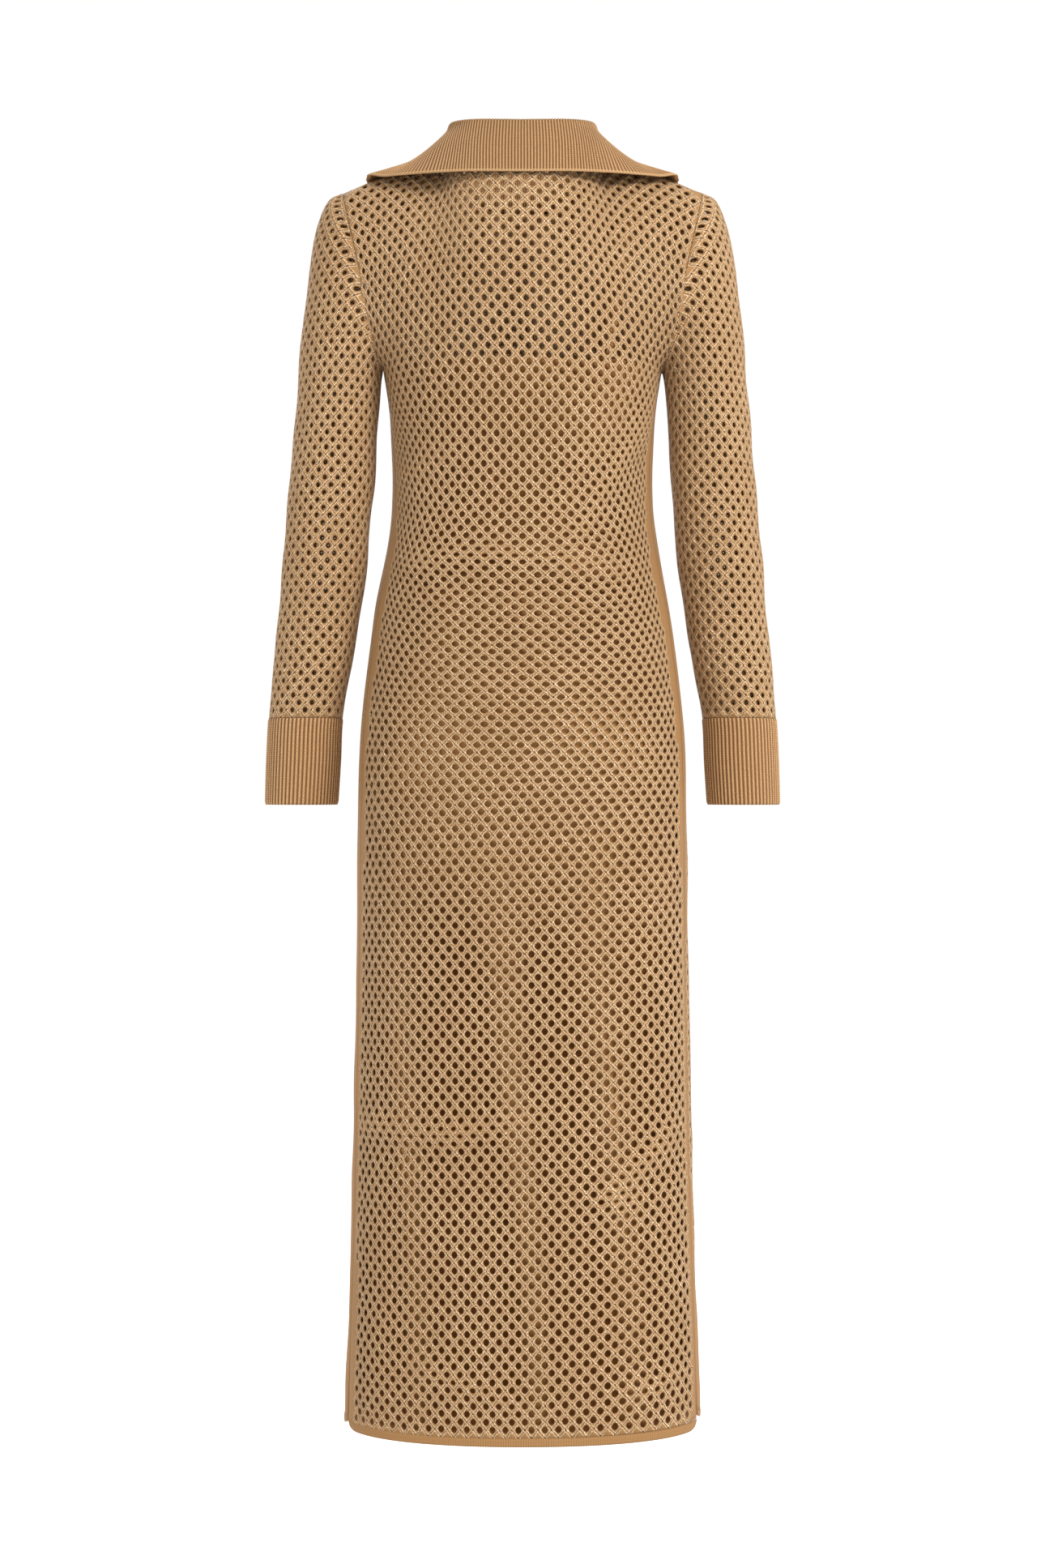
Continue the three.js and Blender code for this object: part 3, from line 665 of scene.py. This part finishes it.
def setPaintedLightShare(piece, values):
    paintedLightShare = piece.data.attributes.new("paintedLightShare", "FLOAT", "POINT")
    paintedLightShare.data.foreach_set("value", values)


netKnit = makeNetMaterial()
# Plain and band knits carry painted shade in their stitch grooves, the band's darker
plainKnit = makePlainMaterial("plain knit", (3.6, 3.6, 1), yarn["plain"])
bandKnit = makePlainMaterial("band knit", (3.0, 2.4, 1), yarn["plain"], 0.9)
# The collar's and cuffs' copies of the rib colours are darkened by 0.82 and 0.94: painted shade, the collar's
# more as it takes more light from above
collarKnit = makeRibMaterial("collar ribs", 0.72, 0.82)
cuffKnit = makeRibMaterial("cuff ribs", 0.8, 0.94)
# The rolled edge is a plain knit painted paler than the plain borders: a painted highlight along the roll
edgeHighlightKnit = makePlainMaterial("rolled edge", (1, 1, 1), yarn["edge"])
slipJersey = makeSlipMaterial()
print("materials made")


# Body panels: open knit between plain borders that run along the side seams
panel = {
    "columns": 60, "rows": 174,
    "rowHeights": makeTable(
        ("row", "height"),
        (0, -1291.14), (40, -974), (70, -740), (79, -667), (86, -616), (93, -568), (100, -522), (115, -425),
        (122, -378), (131, -312), (137, -266), (151, -155), (166, -36), (174, 24)),
    "flow": makeTable(
        ("height", "stretch", "lean", "sag", "tilt"),
        (-1310, -0.175, 0.045, 0, 0), (-1230, -0.175, 0.045, 0, -5), (-989, -0.145, 0.045, 0, -7),
        (-699, -0.125, 0.045, 0, -7), (-650, -0.065, 0.03, -2, -5), (-602, -0.005, 0.01, 4, 0),
        (-554, 0.076, 0, 12, 0), (-505, 0.12, 0, 22, 0), (-457, 0.17, 0, 25, 0), (-409, 0.22, 0, 28, -2),
        (-360, 0.18, 0, 29, -2), (-312, 0.12, 0, 22, 0), (-264, 0, 0, 6, 2), (-223, -0.11, 0, -3, 4),
        (-175, -0.115, 0.01, -15, 6), (-127, -0.1, 0.02, -20, 7), (-79, -0.135, 0.02, -23, 8),
        (40, -0.15, 0.02, -24, 8)),
    "borders": makeTable(
        ("height", "backLeft", "backRight", "frontLeft", "frontRight"),
        (-1310, 15, 12, 36, 40), (-1200, 13, 11, 36, 30), (-1100, 8, 10, 36, 12), (-1000, 5, 9.5, 36, 4),
        (-900, 4, 9.5, 36, 3), (-800, 6, 10, 36, 6), (-650, 12, 13, 36, 16), (-500, 15, 16, 36, 24),
        (-415, 15, 16, 36, 30), (-345, 3, 8, 36, 24), (-290, 2, 9, 30, 20), (-212, 4, 8, 20, 16)),
    "hemReach": 260, "topMargin": 6, "topGap": 0.01, "armholeMargin": 1, "armholePitch": 6.4, "holeRoom": 3.2,
    "frontHoles": makeTable(
        ("height", "share"), (-1310, 0.86), (-340, 0.86), (-250, 0.5), (-205, 0.12), (20, 0.12)),
    "holeWide": makeTable(("height", "size"), (-1310, 0.46), (-900, 0.46), (-620, 0.54), (-480, 0.5),
                          (-330, 0.44), (-200, 0.41), (-100, 0.37), (20, 0.35)),
    "holeTall": makeTable(("height", "size"), (-1310, 0.45), (-900, 0.45), (-620, 0.4), (-480, 0.42),
                          (-330, 0.46), (-200, 0.44), (-100, 0.39), (20, 0.36)),
    "jitter": 0.05, "jitterSize": 0.7, "mostDrawn": 0.5, "drawnWide": 0.4,
}


def makePanel(name, node, facing):
    half, face = panel["columns"] / 2, faceName(facing)

    def flow(key, height):
        return readTable(panel["flow"], key, height)

    def acrossOf(column, height):
        across = min(max(column / half - 1, -1), 1)
        return across + (flow("stretch", height) * across + flow("lean", height)) * (1 - across ** 2)

    def heightOf(column, row):
        height, across = readTable(panel["rowHeights"], "height", row), column / half - 1
        lowShare = 1 - smoothStep(height, body["hem"], body["hem"] + panel["hemReach"])
        return (height + lowShare * (hemAt(facing, across) - body["hem"])
                + flow("sag", height) * across ** 2 + flow("tilt", height) * across)

    def sideRoom(height, across):
        if height > armhole["low"].z:
            return (1 - abs(across)) * half * panel["armholePitch"] - panel["armholeMargin"]
        seam = sideTurn(facing, height)
        turn = abs(across) * seam
        wide, deep = [readTable(body["sections"], key, height) for key in ("halfWidth", face)]
        rate = math.hypot(wide * math.cos(turn), deep * math.sin(turn))
        border = readTable(panel["borders"], face + ("Left" if across > 0 else "Right"), height)
        return (seam - turn) * rate - border

    def keepCell(column, row):
        height = heightOf(column, row - 0.5)
        return height < topPoint(facing, acrossOf(column, height)).z

    def isHole(column, row):
        height = heightOf(column, row)
        across = acrossOf(column, height)
        belowTop = height + panel["topMargin"] < topPoint(facing, across).z
        return belowTop and sideRoom(height, across) > panel["holeRoom"]

    def holeRadius(column, row):
        height = heightOf(column, row)
        place = Vector((column * panel["jitterSize"], row * panel["jitterSize"], facing * 5))
        share = 1 + panel["jitter"] * noise.noise(place)
        if facing < 0:
            share *= readTable(panel["frontHoles"], "share", height)
        point = sectionPoint(height, turnAcross(facing, acrossOf(column, height), height))
        drawnIn = min(creaseSum(facing, "gather", point.x, height), panel["mostDrawn"])
        return (readTable(panel["holeWide"], "size", height) * share * (1 - drawnIn * panel["drawnWide"]),
                readTable(panel["holeTall"], "size", height) * share * (1 - drawnIn))

    def placeOf(column, row):
        height = heightOf(column, row)
        across = acrossOf(column, height)
        return panelPoint(facing, across, min(height, topPoint(facing, across).z - panel["topGap"]))

    def isPlain(centre):
        column, row = math.floor(centre.x), math.floor(centre.y)
        return not any((column + across, row + up) in holes for across in (0, 1) for up in (0, 1))

    def outwardOf(point):
        return Vector((point.x, point.y + facing * 30, 0))

    bm, holes = latticeMesh(panel["columns"], panel["rows"], keepCell, isHole, holeRadius)
    piece = finishCloth(
        name, bm, placeOf, outwardOf, net["wall"], [netKnit, plainKnit], isPlain, tiny=net["tiny"])
    declare(piece, node)


makePanel("backPanelKnit", "back_panel", 1)
makePanel("frontPanelKnit", "front_panel", -1)


# Set-in sleeves: rows are counted up from the cuff, columns from the outer line to the seam under the arm
sleeve = {
    "rings": makeTable(
        ("at", "innerX", "innerZ", "outerX", "outerZ", "halfDepth", "middle"),
        (0.0, 144.5, -212, 186, -29, 58, 0), (0.08, 145.0, -215, 201, -37, 57.5, 0),
        (0.16, 145.6, -219, 212, -62, 56.5, 0), (0.24, 146.3, -224, 219, -95, 55, 0),
        (0.32, 147.0, -232, 225, -138, 53, 0), (0.42, 148.0, -247, 230.5, -192, 50, 0),
        (0.52, 150.0, -276, 236, -255, 47.5, 0), (0.64, 154.0, -342, 243, -334, 45, -1),
        (0.76, 161.0, -410, 249, -410, 43, -4), (0.88, 172.0, -492, 257, -492, 40, -8),
        (1.0, 187.5, -572, 264, -572, 36, -13), (1.06, 190.0, -617, 266.5, -617, 34, -15),
        (1.12, 193.0, -662, 268, -662, 33, -17)),
    "radii": makeTable(
        ("level", "radius"), (0, 37.3), (90, 41), (190, 44), (300, 46.5), (420, 50), (560, 57), (640, 60)),
    "rowPitch": 7.7, "columnPitch": 6.7, "rows": 76, "halfColumns": 22, "wall": 1.7,
    "seamMargin": 5, "seamShare": 0.02, "topMargin": 2, "topGap": 0.02,
    "holeWide": 0.345, "holeTall": 0.36, "jitter": 0.08, "jitterSize": 0.6,
    "frontHoles": 0.2, "frontFade": (0.2, 0.8), "merge": 0.3,
    "swaySize": 55, "sway": 2.2, "swaySink": 0.6, "seedStep": 40,
    "calmTop": (0.0, 0.12), "calmLow": (0.93, 1.0),
    "middleTop": -100, "middleLow": -572, "middleRange": (0.1, 1.06),
}


def outerShare(turn):
    return 0.5 + math.cos(turn) / 2


def sleevePoint(at, turn):
    def read(column):
        return readTable(sleeve["rings"], column, at)

    innerPoint = Vector((read("innerX"), read("middle"), read("innerZ")))
    outerPoint = Vector((read("outerX"), read("middle"), read("outerZ")))
    point = mix(innerPoint, outerPoint, outerShare(turn))
    point.y += read("halfDepth") * math.sin(turn)
    return point


def sleeveCentre(at):
    return (sleevePoint(at, 0) + sleevePoint(at, math.pi)) / 2


# Tells the outer side of a sleeve's or a cuff's faces
def armOutward(side):
    def outwardOf(point):
        low, high = sleeve["middleRange"]
        at = (point.z - sleeve["middleTop"]) / (sleeve["middleLow"] - sleeve["middleTop"])
        centre = sleeveCentre(min(max(at, low), high))
        return Vector((point.x - side * centre.x, point.y - centre.y, 0))

    return outwardOf


# Lengths along the outer line and the inner line, up from the cuff
def makeSleeveLevels():
    rows, outer, inner = [(1.0, 0.0, 0.0)], 0.0, 0.0
    places = steps(1.0, 0.0, 50)
    for low, high in zip(places, places[1:]):
        outer += (sleevePoint(high, 0) - sleevePoint(low, 0)).length
        inner += (sleevePoint(high, math.pi) - sleevePoint(low, math.pi)).length
        rows.append((high, outer, inner))
    return makeTable(("at", "outer", "inner"), *rows)


sleeveLevels = makeSleeveLevels()


def sleeveAt(level, turn):
    def levelAt(at):
        inner, outer = [readTable(sleeveLevels, line, at) for line in ("inner", "outer")]
        return mix(inner, outer, outerShare(turn))

    return findPlace(lambda at: levelAt(at) > level, halvings=16)


def makeSleeve(name, node, side, seed):
    half = sleeve["halfColumns"]

    def turnOf(column, row):
        level = row * sleeve["rowPitch"]
        turn = (column - half) * sleeve["columnPitch"] / readTable(sleeve["radii"], "radius", level)
        return min(max(turn, -math.pi), math.pi)

    def topLevel(turn):
        return mix(sleeveLevels["inner"][0], sleeveLevels["outer"][0], outerShare(turn))

    def keepCell(column, row):
        low, high = turnOf(column - 0.5, row), turnOf(column + 0.5, row)
        return low < high and (row - 0.5) * sleeve["rowPitch"] < max(topLevel(low), topLevel(high))

    def isHole(column, row):
        turn, level = turnOf(column, row), row * sleeve["rowPitch"]
        radius = readTable(sleeve["radii"], "radius", level)
        return ((math.pi - abs(turn)) * radius > sleeve["seamMargin"]
                and level + sleeve["topMargin"] < topLevel(turn))

    def holeRadius(column, row):
        place = Vector((column * sleeve["jitterSize"], row * sleeve["jitterSize"], seed))
        share = 1 + sleeve["jitter"] * noise.noise(place)
        share *= mix(1, sleeve["frontHoles"], smoothStep(-turnOf(column, row), *sleeve["frontFade"]))
        return sleeve["holeWide"] * share, sleeve["holeTall"] * share

    def placeOf(column, row):
        turn, level = turnOf(column, row), row * sleeve["rowPitch"]
        at = sleeveAt(min(level, topLevel(turn) - sleeve["topGap"]), turn)
        point = sleevePoint(at, turn)
        outward = (point - sleeveCentre(at)).normalized()
        calm = smoothStep(at, *sleeve["calmTop"]) * (1 - smoothStep(at, *sleeve["calmLow"]))
        drawn = point + Vector((seed * sleeve["seedStep"], 0, 0))
        sway = softSway(drawn, sleeve["swaySize"], sleeve["sway"]) - sleeve["swaySink"]
        if at < sleeve["seamShare"]:
            point += armholeOut * body["seamGap"]
        return mirrored(point + outward * (sway * calm), side)

    bm, _ = latticeMesh(2 * half, sleeve["rows"], keepCell, isHole, holeRadius)
    piece = finishCloth(name, bm, placeOf, armOutward(side), sleeve["wall"], [netKnit],
                        merge=sleeve["merge"], tiny=net["tiny"])
    declare(piece, node)


makeSleeve("sleeveLeftKnit", "sleeve_left", 1, 1)
makeSleeve("sleeveRightKnit", "sleeve_right", -1, 2)


def ribProfile(ribs):
    return (0.5 + 0.5 * math.cos(2 * math.pi * ribs)) ** 0.7


# Cuffs: each rib is a soft ridge of stitches, parted by grooves; the ridges flatten out at the lower edge
cuff = {
    "ribs": 56, "perRib": 6, "rows": 30, "rise": 1.05, "start": 1.0005, "end": 1.12, "wall": 1.9,
    "height": 90, "stitchHeight": 1.85, "turned": 0.04, "seamFrom": 0.985, "seamDrop": 0.7, "sink": 0.15,
}


def makeCuff(name, node, side):
    columns, rows = cuff["ribs"] * cuff["perRib"], cuff["rows"]

    def placeOf(column, row):
        at = mix(cuff["end"], cuff["start"], row / rows)
        point = sleevePoint(at, 2 * math.pi * column / columns)
        outward = (point - sleeveCentre(at)).normalized()
        seamEdge = 1 - smoothStep(row / rows, cuff["seamFrom"], 1) * cuff["seamDrop"]
        edge = min(smoothStep(row / rows, 0, cuff["turned"]), seamEdge)
        ridge = ribProfile(column / cuff["perRib"])
        return mirrored(point + outward * (cuff["rise"] * ridge * edge - cuff["sink"]), side)

    uv = (1 / cuff["perRib"], cuff["height"] / rows / cuff["stitchHeight"], 0.5)
    piece = finishCloth(name, gridMesh(columns, rows), placeOf, armOutward(side), cuff["wall"], [cuffKnit],
                        uv=uv, merge=0.02)
    declare(piece, node)


makeCuff("cuffLeftRibs", "cuff_left", 1)
makeCuff("cuffRightRibs", "cuff_right", -1)


# Collar: one ribbed ring, up the stand, over the fold and down the leaf, closed at the middle of the front
collar = {
    "ribs": 168, "perRib": 5, "neckEnd": 1.996, "rise": 0.95, "wall": 1.6, "rowsPerSpan": (3, 3, 4, 6, 8),
    "stations": makeTable(
        ("at", "neck", "foldX", "foldY", "foldZ", "leafX", "leafY", "leafZ", "edgeX", "edgeY", "edgeZ"),
        (-0.19, -0.5, -47, 49, 36, -50, 65, 8, -51, 77.5, -23),
        (0.0, 0.0, 0, 60, 33, 0, 73, 6, 0, 81, -24),
        (0.19, 0.5, 47, 49, 36, 50, 65, 8, 51, 77.5, -23),
        (0.316, 0.85, 70, 27, 39, 77, 50, 12, 84, 68, -22),
        (0.393, 1.0, 76, 9, 38, 93, 33, 11, 108, 56, -20.5),
        (0.5, 1.18, 76, -12, 32, 106, 12, 7, 140, 36, -18.5),
        (0.62, 1.38, 66, -38, 25, 109, -14, 5, 161, 10, -15.5),
        (0.74, 1.58, 50, -59, 18, 96, -47, -6, 138, -52, -51),
        (0.87, 1.79, 27, -72, 14, 50, -80, -27, 80, -84, -80),
        (1.0, 1.996, 0.4, -77, 12, 0.4, -87.5, -31, 0.4, -90.5, -87),
        (1.13, 2.202, -27, -72, 14, -50, -80, -27, -80, -84, -80)),
    "startUp": 1.2, "startIn": 2.2, "riseShare": 0.3, "mostRise": 7, "foldIn": 3.2, "foldOut": 4.4,
    "clearFold": 4.6, "clearLeaf": 3.6, "clearEdge": 3.1,
    "samplesAcross": 48, "samplesDown": 26, "sampledTo": 0.9,
    "lastRow": 0.5, "edgeRows": 0.8, "rollFrom": 0.9, "ribsEnd": 0.3, "roll": 0.5, "stitchRows": 2.6,
}
shoulderSamples = [
    (chestPoint(facing, across, down), chestNormal(facing, across, down))
    for facing in (1, -1) for across in steps(-1, 1, collar["samplesAcross"])
    for down in steps(0.0, collar["sampledTo"], collar["samplesDown"])]


def clearOfPanels(point, distance):
    for _ in range(2):
        here, out = min(shoulderSamples, key=lambda sample: (sample[0] - point).length_squared)
        height = (point - here).dot(out)
        if height < distance:
            point = point + out * (distance - height)
    return point


# Six points from the neck seam up to the fold and down to the leaf's edge
def collarProfile(place):
    half = abs(place)

    def read(name):
        return Vector([readTable(collar["stations"], name + axis, half) for axis in "XYZ"])

    share = min(max(readTable(collar["stations"], "neck", half), 0), collar["neckEnd"])
    seam = neckPoint(1, share) if share <= 1 else neckPoint(-1, 2 - share)
    fold, leaf, edge = read("fold"), read("leaf"), read("edge")
    lift = (fold - seam).normalized()
    span = leaf - seam
    away = (span - lift * span.dot(lift)).normalized()
    belowFold = fold - lift * min((fold - seam).length * collar["riseShare"], collar["mostRise"])
    base = seam + lift * (body["seamGap"] + collar["startUp"]) - away * collar["startIn"]
    points = [
        base, belowFold - away * collar["foldIn"], fold,
        clearOfPanels(belowFold + away * collar["foldOut"], collar["clearFold"]),
        clearOfPanels(leaf, collar["clearLeaf"]), clearOfPanels(edge, collar["clearEdge"])]
    return [Vector((math.copysign(p.x, place) if place else p.x, p.y, p.z)) for p in points]


def makeCollar(name, node):
    columns, coarse = collar["ribs"] * collar["perRib"], collar["ribs"] // 2
    profiles = [collarProfile(place) for place in steps(-1, 1, coarse)]
    spans = collar["rowsPerSpan"]
    rows = sum(spans)
    starts = [sum(spans[:index]) for index in range(len(spans) + 1)]
    known = {}

    def profileAt(column):
        if column not in known:
            place = column / columns * coarse
            index = min(int(place), coarse - 1)
            around = [profiles[i] for i in (max(index - 1, 0), index, index + 1, min(index + 2, coarse))]
            known[column] = [curve(*points, place - index) for points in zip(*around)]
        return known[column]

    # The last row is a narrow one, which rolls up into the edge
    def smoothPlace(column, row):
        narrow, last = collar["lastRow"], rows - 1
        row = row * (rows - narrow) / last if row < last else mix(rows - narrow, rows, row - last)
        points = profileAt(column)
        index = min(bisect.bisect_right(starts, row) - 1, len(spans) - 1)
        share = (row - starts[index]) / spans[index]
        p1, p2 = points[index], points[index + 1]
        p0 = points[index - 1] if index > 0 else 2 * p1 - p2
        p3 = points[index + 2] if index + 2 < len(points) else 2 * p2 - p1
        return curve(p0, p1, p2, p3, share)

    def crossAt(column, row):
        low, high = max(row - 0.5, 0), min(row + 0.5, rows)
        left, right = max(column - 2, 0), min(column + 2, columns)
        across = smoothPlace(right, row) - smoothPlace(left, row)
        return across.cross(smoothPlace(column, high) - smoothPlace(column, low)).normalized()

    outSign = math.copysign(1, crossAt(columns // 2, rows - 3).y)

    def placeOf(column, row):
        ridge = ribProfile(column / collar["perRib"])
        rollRow = rows - collar["rollFrom"]
        edge = smoothStep(row, 0, 1) * (1 - smoothStep(row, rollRow, rows - collar["ribsEnd"]))
        roll = collar["roll"] * smoothStep(row, rollRow, rows)
        rise = outSign * (collar["rise"] * ridge * edge + roll)
        return smoothPlace(column, row) + crossAt(column, row) * rise

    # Faces of the stand look in towards the neck, those of the leaf away from it
    ribProfiles = [profileAt(column) for column in range(0, columns + 1, collar["perRib"])]
    standCentres = [(points[1] + points[4]) / 2 for points in ribProfiles]

    def outwardOf(point):
        return point - min(standCentres, key=lambda centre: (centre - point).length_squared)

    # The last rows take the rolled edge's knit, with its painted highlight
    def isEdge(centre):
        return centre.y > rows - collar["edgeRows"]

    piece = finishCloth(
        name, gridMesh(columns, rows), placeOf, outwardOf, collar["wall"], [collarKnit, edgeHighlightKnit], isEdge,
        uv=(1 / collar["perRib"], collar["stitchRows"], 0.5))
    declare(piece, node)


makeCollar("collarRibs", "collar")


# Hem bands: plain, tucked a little under the panel's edge, with corners rounded at the vents
hemBand = {
    "columns": 240, "rows": 5, "length": 460, "corner": 0.14, "cornerRise": 8, "tuck": 1.1, "swell": 0.4,
    "wall": 1.9, "tuckIn": 0.5, "tuckFrom": 0.8,
}


def makeHemBand(name, node, facing):
    columns, rows = hemBand["columns"], hemBand["rows"]

    def placeOf(column, row):
        across = column / columns * 2 - 1
        level = row / rows
        corner = max(abs(across) - 1 + hemBand["corner"], 0) / hemBand["corner"]
        lift = hemBand["cornerRise"] * (1 - math.sqrt(1 - min(corner, 1) ** 2))
        height = hemAt(facing, across) + mix(lift, body["bandHeight"] + hemBand["tuck"], level)
        turn = turnAcross(facing, across, height)
        swell = hemBand["swell"] * math.sin(math.pi * level)
        swell -= hemBand["tuckIn"] * smoothStep(level, hemBand["tuckFrom"], 1)
        outward = Vector((math.sin(turn), math.cos(turn), 0))
        return sectionPoint(height, turn) + outward * swell + halfGap(facing)

    uv = (hemBand["length"] / columns / net["unit"], body["bandHeight"] / rows / net["unit"], 0.5)
    piece = finishCloth(name, gridMesh(columns, rows), placeOf, lambda point: Vector((point.x, point.y, 0)),
                        hemBand["wall"], [bandKnit], uv=uv)
    declare(piece, node)


makeHemBand("hemBandBack", "back_hem_band", 1)
makeHemBand("hemBandFront", "front_hem_band", -1)


# Slip: a plain shell behind the knit, close to it over the hips and in soft folds below
slip = {
    "top": -212.15, "hem": -1297, "columns": 110, "rows": 110, "wall": 0.8,
    "insets": makeTable(
        ("height", "inset"),
        (-1310, 19), (-1150, 18), (-980, 16), (-860, 13), (-780, 9), (-720, 6),
        (-640, 4.6), (-560, 4.6), (-500, 6), (-440, 8), (-380, 9), (-300, 8), (-212, 7)),
    "folds": [
        {"degrees": -33, "spread": 9, "rise": 12}, {"degrees": 1.5, "spread": 8, "rise": 12},
        {"degrees": 42, "spread": 10, "rise": 12}, {"degrees": 128, "spread": 12, "rise": 8},
        {"degrees": 165, "spread": 10, "rise": 10}, {"degrees": 208, "spread": 11, "rise": 10},
        {"degrees": 236, "spread": 10, "rise": 8},
    ],
    "foldFrom": -640, "foldTo": -1000, "foldSway": 6, "swayLength": 160, "sideReach": 0.45, "sidePower": 8,
    "nearest": 3.4, "clear": 11,
}


def slipInset(height, turn):
    depth = 1 - smoothStep(height, slip["foldTo"], slip["foldFrom"])
    sway = slip["foldSway"] * math.sin(height / slip["swayLength"])
    rise = 0
    for fold in slip["folds"]:
        away = (math.degrees(turn) - fold["degrees"] - sway + 540) % 360 - 180
        rise += fold["rise"] * math.exp(-(away / fold["spread"]) ** 2)
    sideways = slip["sideReach"] * depth * math.sin(turn) ** slip["sidePower"]
    inset = readTable(slip["insets"], "inset", height) * (1 - sideways)
    return inset - max(min(rise * depth, inset - slip["nearest"]), 0)


def makeSlip(name, node, facing):
    columns, rows = slip["columns"], slip["rows"]
    insets = []

    def placeOf(column, row):
        height = mix(slip["hem"], slip["top"], row / rows)
        turn = (column / columns * 2 - 1) * math.pi / 2
        turn = turn if facing > 0 else math.pi - turn
        insets.append(slipInset(height, turn))
        return sectionPoint(height, turn, insets[-1]) + halfGap(facing)

    piece = finishCloth(name, gridMesh(columns, rows), placeOf, lambda point: Vector((point.x, point.y, 0)),
                        slip["wall"], [slipJersey])
    # Painted shade: the slip's lit share falls from 1 where it touches the knit to 0 where it lies deep
    # behind it
    setPaintedLightShare(piece, [1 - smoothStep(inset, slip["nearest"], slip["clear"]) for inset in insets])
    declare(piece, node)


makeSlip("slipBackCloth", "slip_back", 1)
makeSlip("slipFrontCloth", "slip_front", -1)


# Straps of the slip, just under the panels
strap = {
    "width": 7, "columns": 3, "rows": 48, "wall": 0.9, "backEnd": 0.9995, "frontEnd": 0.991, "top": 0.02,
    "sink": 1.8, "inset": 7.5, "insetFrom": 0.5, "back": (0.411, 0.674), "front": (0.34, 0.763),
}


def makeStrap(name, node, side):
    half = strap["rows"] // 2

    def pathPoint(row):
        facing = 1 if row <= half else -1
        share = row / half if facing > 0 else 2 - row / half
        down = mix(strap[faceName(facing) + "End"], strap["top"], share)
        low, top = strap[faceName(facing)]
        across = mix(top, low, down)
        out = chestNormal(facing, across, down)
        depth = mix(net["wall"] + strap["sink"], strap["inset"], smoothStep(down, strap["insetFrom"], 1))
        return chestPoint(facing, across, down) - out * depth, out

    path = [pathPoint(row) for row in range(strap["rows"] + 1)]

    def placeOf(column, row):
        index = round(row)
        point, out = path[index]
        following, previous = path[min(index + 1, strap["rows"])][0], path[max(index - 1, 0)][0]
        sideways = (following - previous).cross(out).normalized()
        return mirrored(point + sideways * ((column / strap["columns"] - 0.5) * strap["width"]), side)

    piece = finishCloth(name, gridMesh(strap["columns"], strap["rows"]), placeOf,
                        lambda point: Vector((point.x * 0.2, point.y, 60)), strap["wall"], [slipJersey])
    # The straps take the slip's lit colour all over, with no painted shade
    setPaintedLightShare(piece, [1.0] * len(piece.data.vertices))
    declare(piece, node)


makeStrap("slipStrapLeftCloth", "slip_strap_left", 1)
makeStrap("slipStrapRightCloth", "slip_strap_right", -1)


# Floor, light and camera, in metres
studio = {
    "floor": -1.62, "floorRadius": 30,
    "paleFloor": (0.995, 0.995, 0.995), "deepFloor": (0.975, 0.975, 0.975),
    "camera": (0, 2.7, -0.6405), "frameHeight": 1.6254, "worldStrength": 1.02,
    "lights": [
        {"name": "key", "place": (-2.2, 2.3, 1.6), "target": (0, 0, -0.3), "size": 1.2, "power": 118},
        {"name": "fill", "place": (2.6, 2.4, 0.2), "target": (0, 0, -0.7), "size": 2.0, "power": 8},
        {"name": "front", "place": (0.8, -3.0, 0.9), "target": (0, 0, -0.6), "size": 2.2, "power": 40},
    ],
}


def makeFloor():
    bm = bmesh.new()
    bmesh.ops.create_circle(bm, cap_ends=True, segments=64, radius=studio["floorRadius"])
    bmesh.ops.translate(bm, verts=bm.verts, vec=(0, 0, studio["floor"]))
    mesh = bpy.data.meshes.new("floor")
    bm.to_mesh(mesh)
    bm.free()
    material, tree, shader, fibre = newMaterial("pale floor", 0.9, 0.0, Fine=40.0, Broad=0.6)
    shade = addMix(tree, fibre["Shade"] * 0.2, studio["paleFloor"], studio["deepFloor"])
    tree.links.new(shade, shader.inputs["Base Color"])
    mesh.materials.append(material)
    floor = bpy.data.objects.new("floor", mesh)
    bpy.context.collection.objects.link(floor)


def addLight(name, place, target, size, power):
    data = bpy.data.lights.new(name, "AREA")
    data.shape = "DISK"
    data.size = size
    data.energy = power
    light = bpy.data.objects.new(name, data)
    light.location = place
    light.rotation_mode = "QUATERNION"
    light.rotation_quaternion = (Vector(target) - Vector(place)).to_track_quat("-Z", "Y")
    bpy.context.collection.objects.link(light)


makeFloor()
for row in studio["lights"]:
    addLight(**row)
world = bpy.data.worlds.new("studio")
world.use_nodes = True
world.node_tree.nodes["Background"].inputs["Color"].default_value = (1, 1, 1, 1)
world.node_tree.nodes["Background"].inputs["Strength"].default_value = studio["worldStrength"]
bpy.context.scene.world = world

cameraData = bpy.data.cameras.new("camera")
cameraData.lens = cameraData.sensor_width * studio["camera"][1] / studio["frameHeight"]
camera = bpy.data.objects.new("camera", cameraData)
camera.location = studio["camera"]
camera.rotation_euler = (math.pi / 2, 0, math.pi)
bpy.context.collection.objects.link(camera)
bpy.context.scene.camera = camera
bpy.context.scene.view_settings.view_transform = "Standard"
print("stage made")
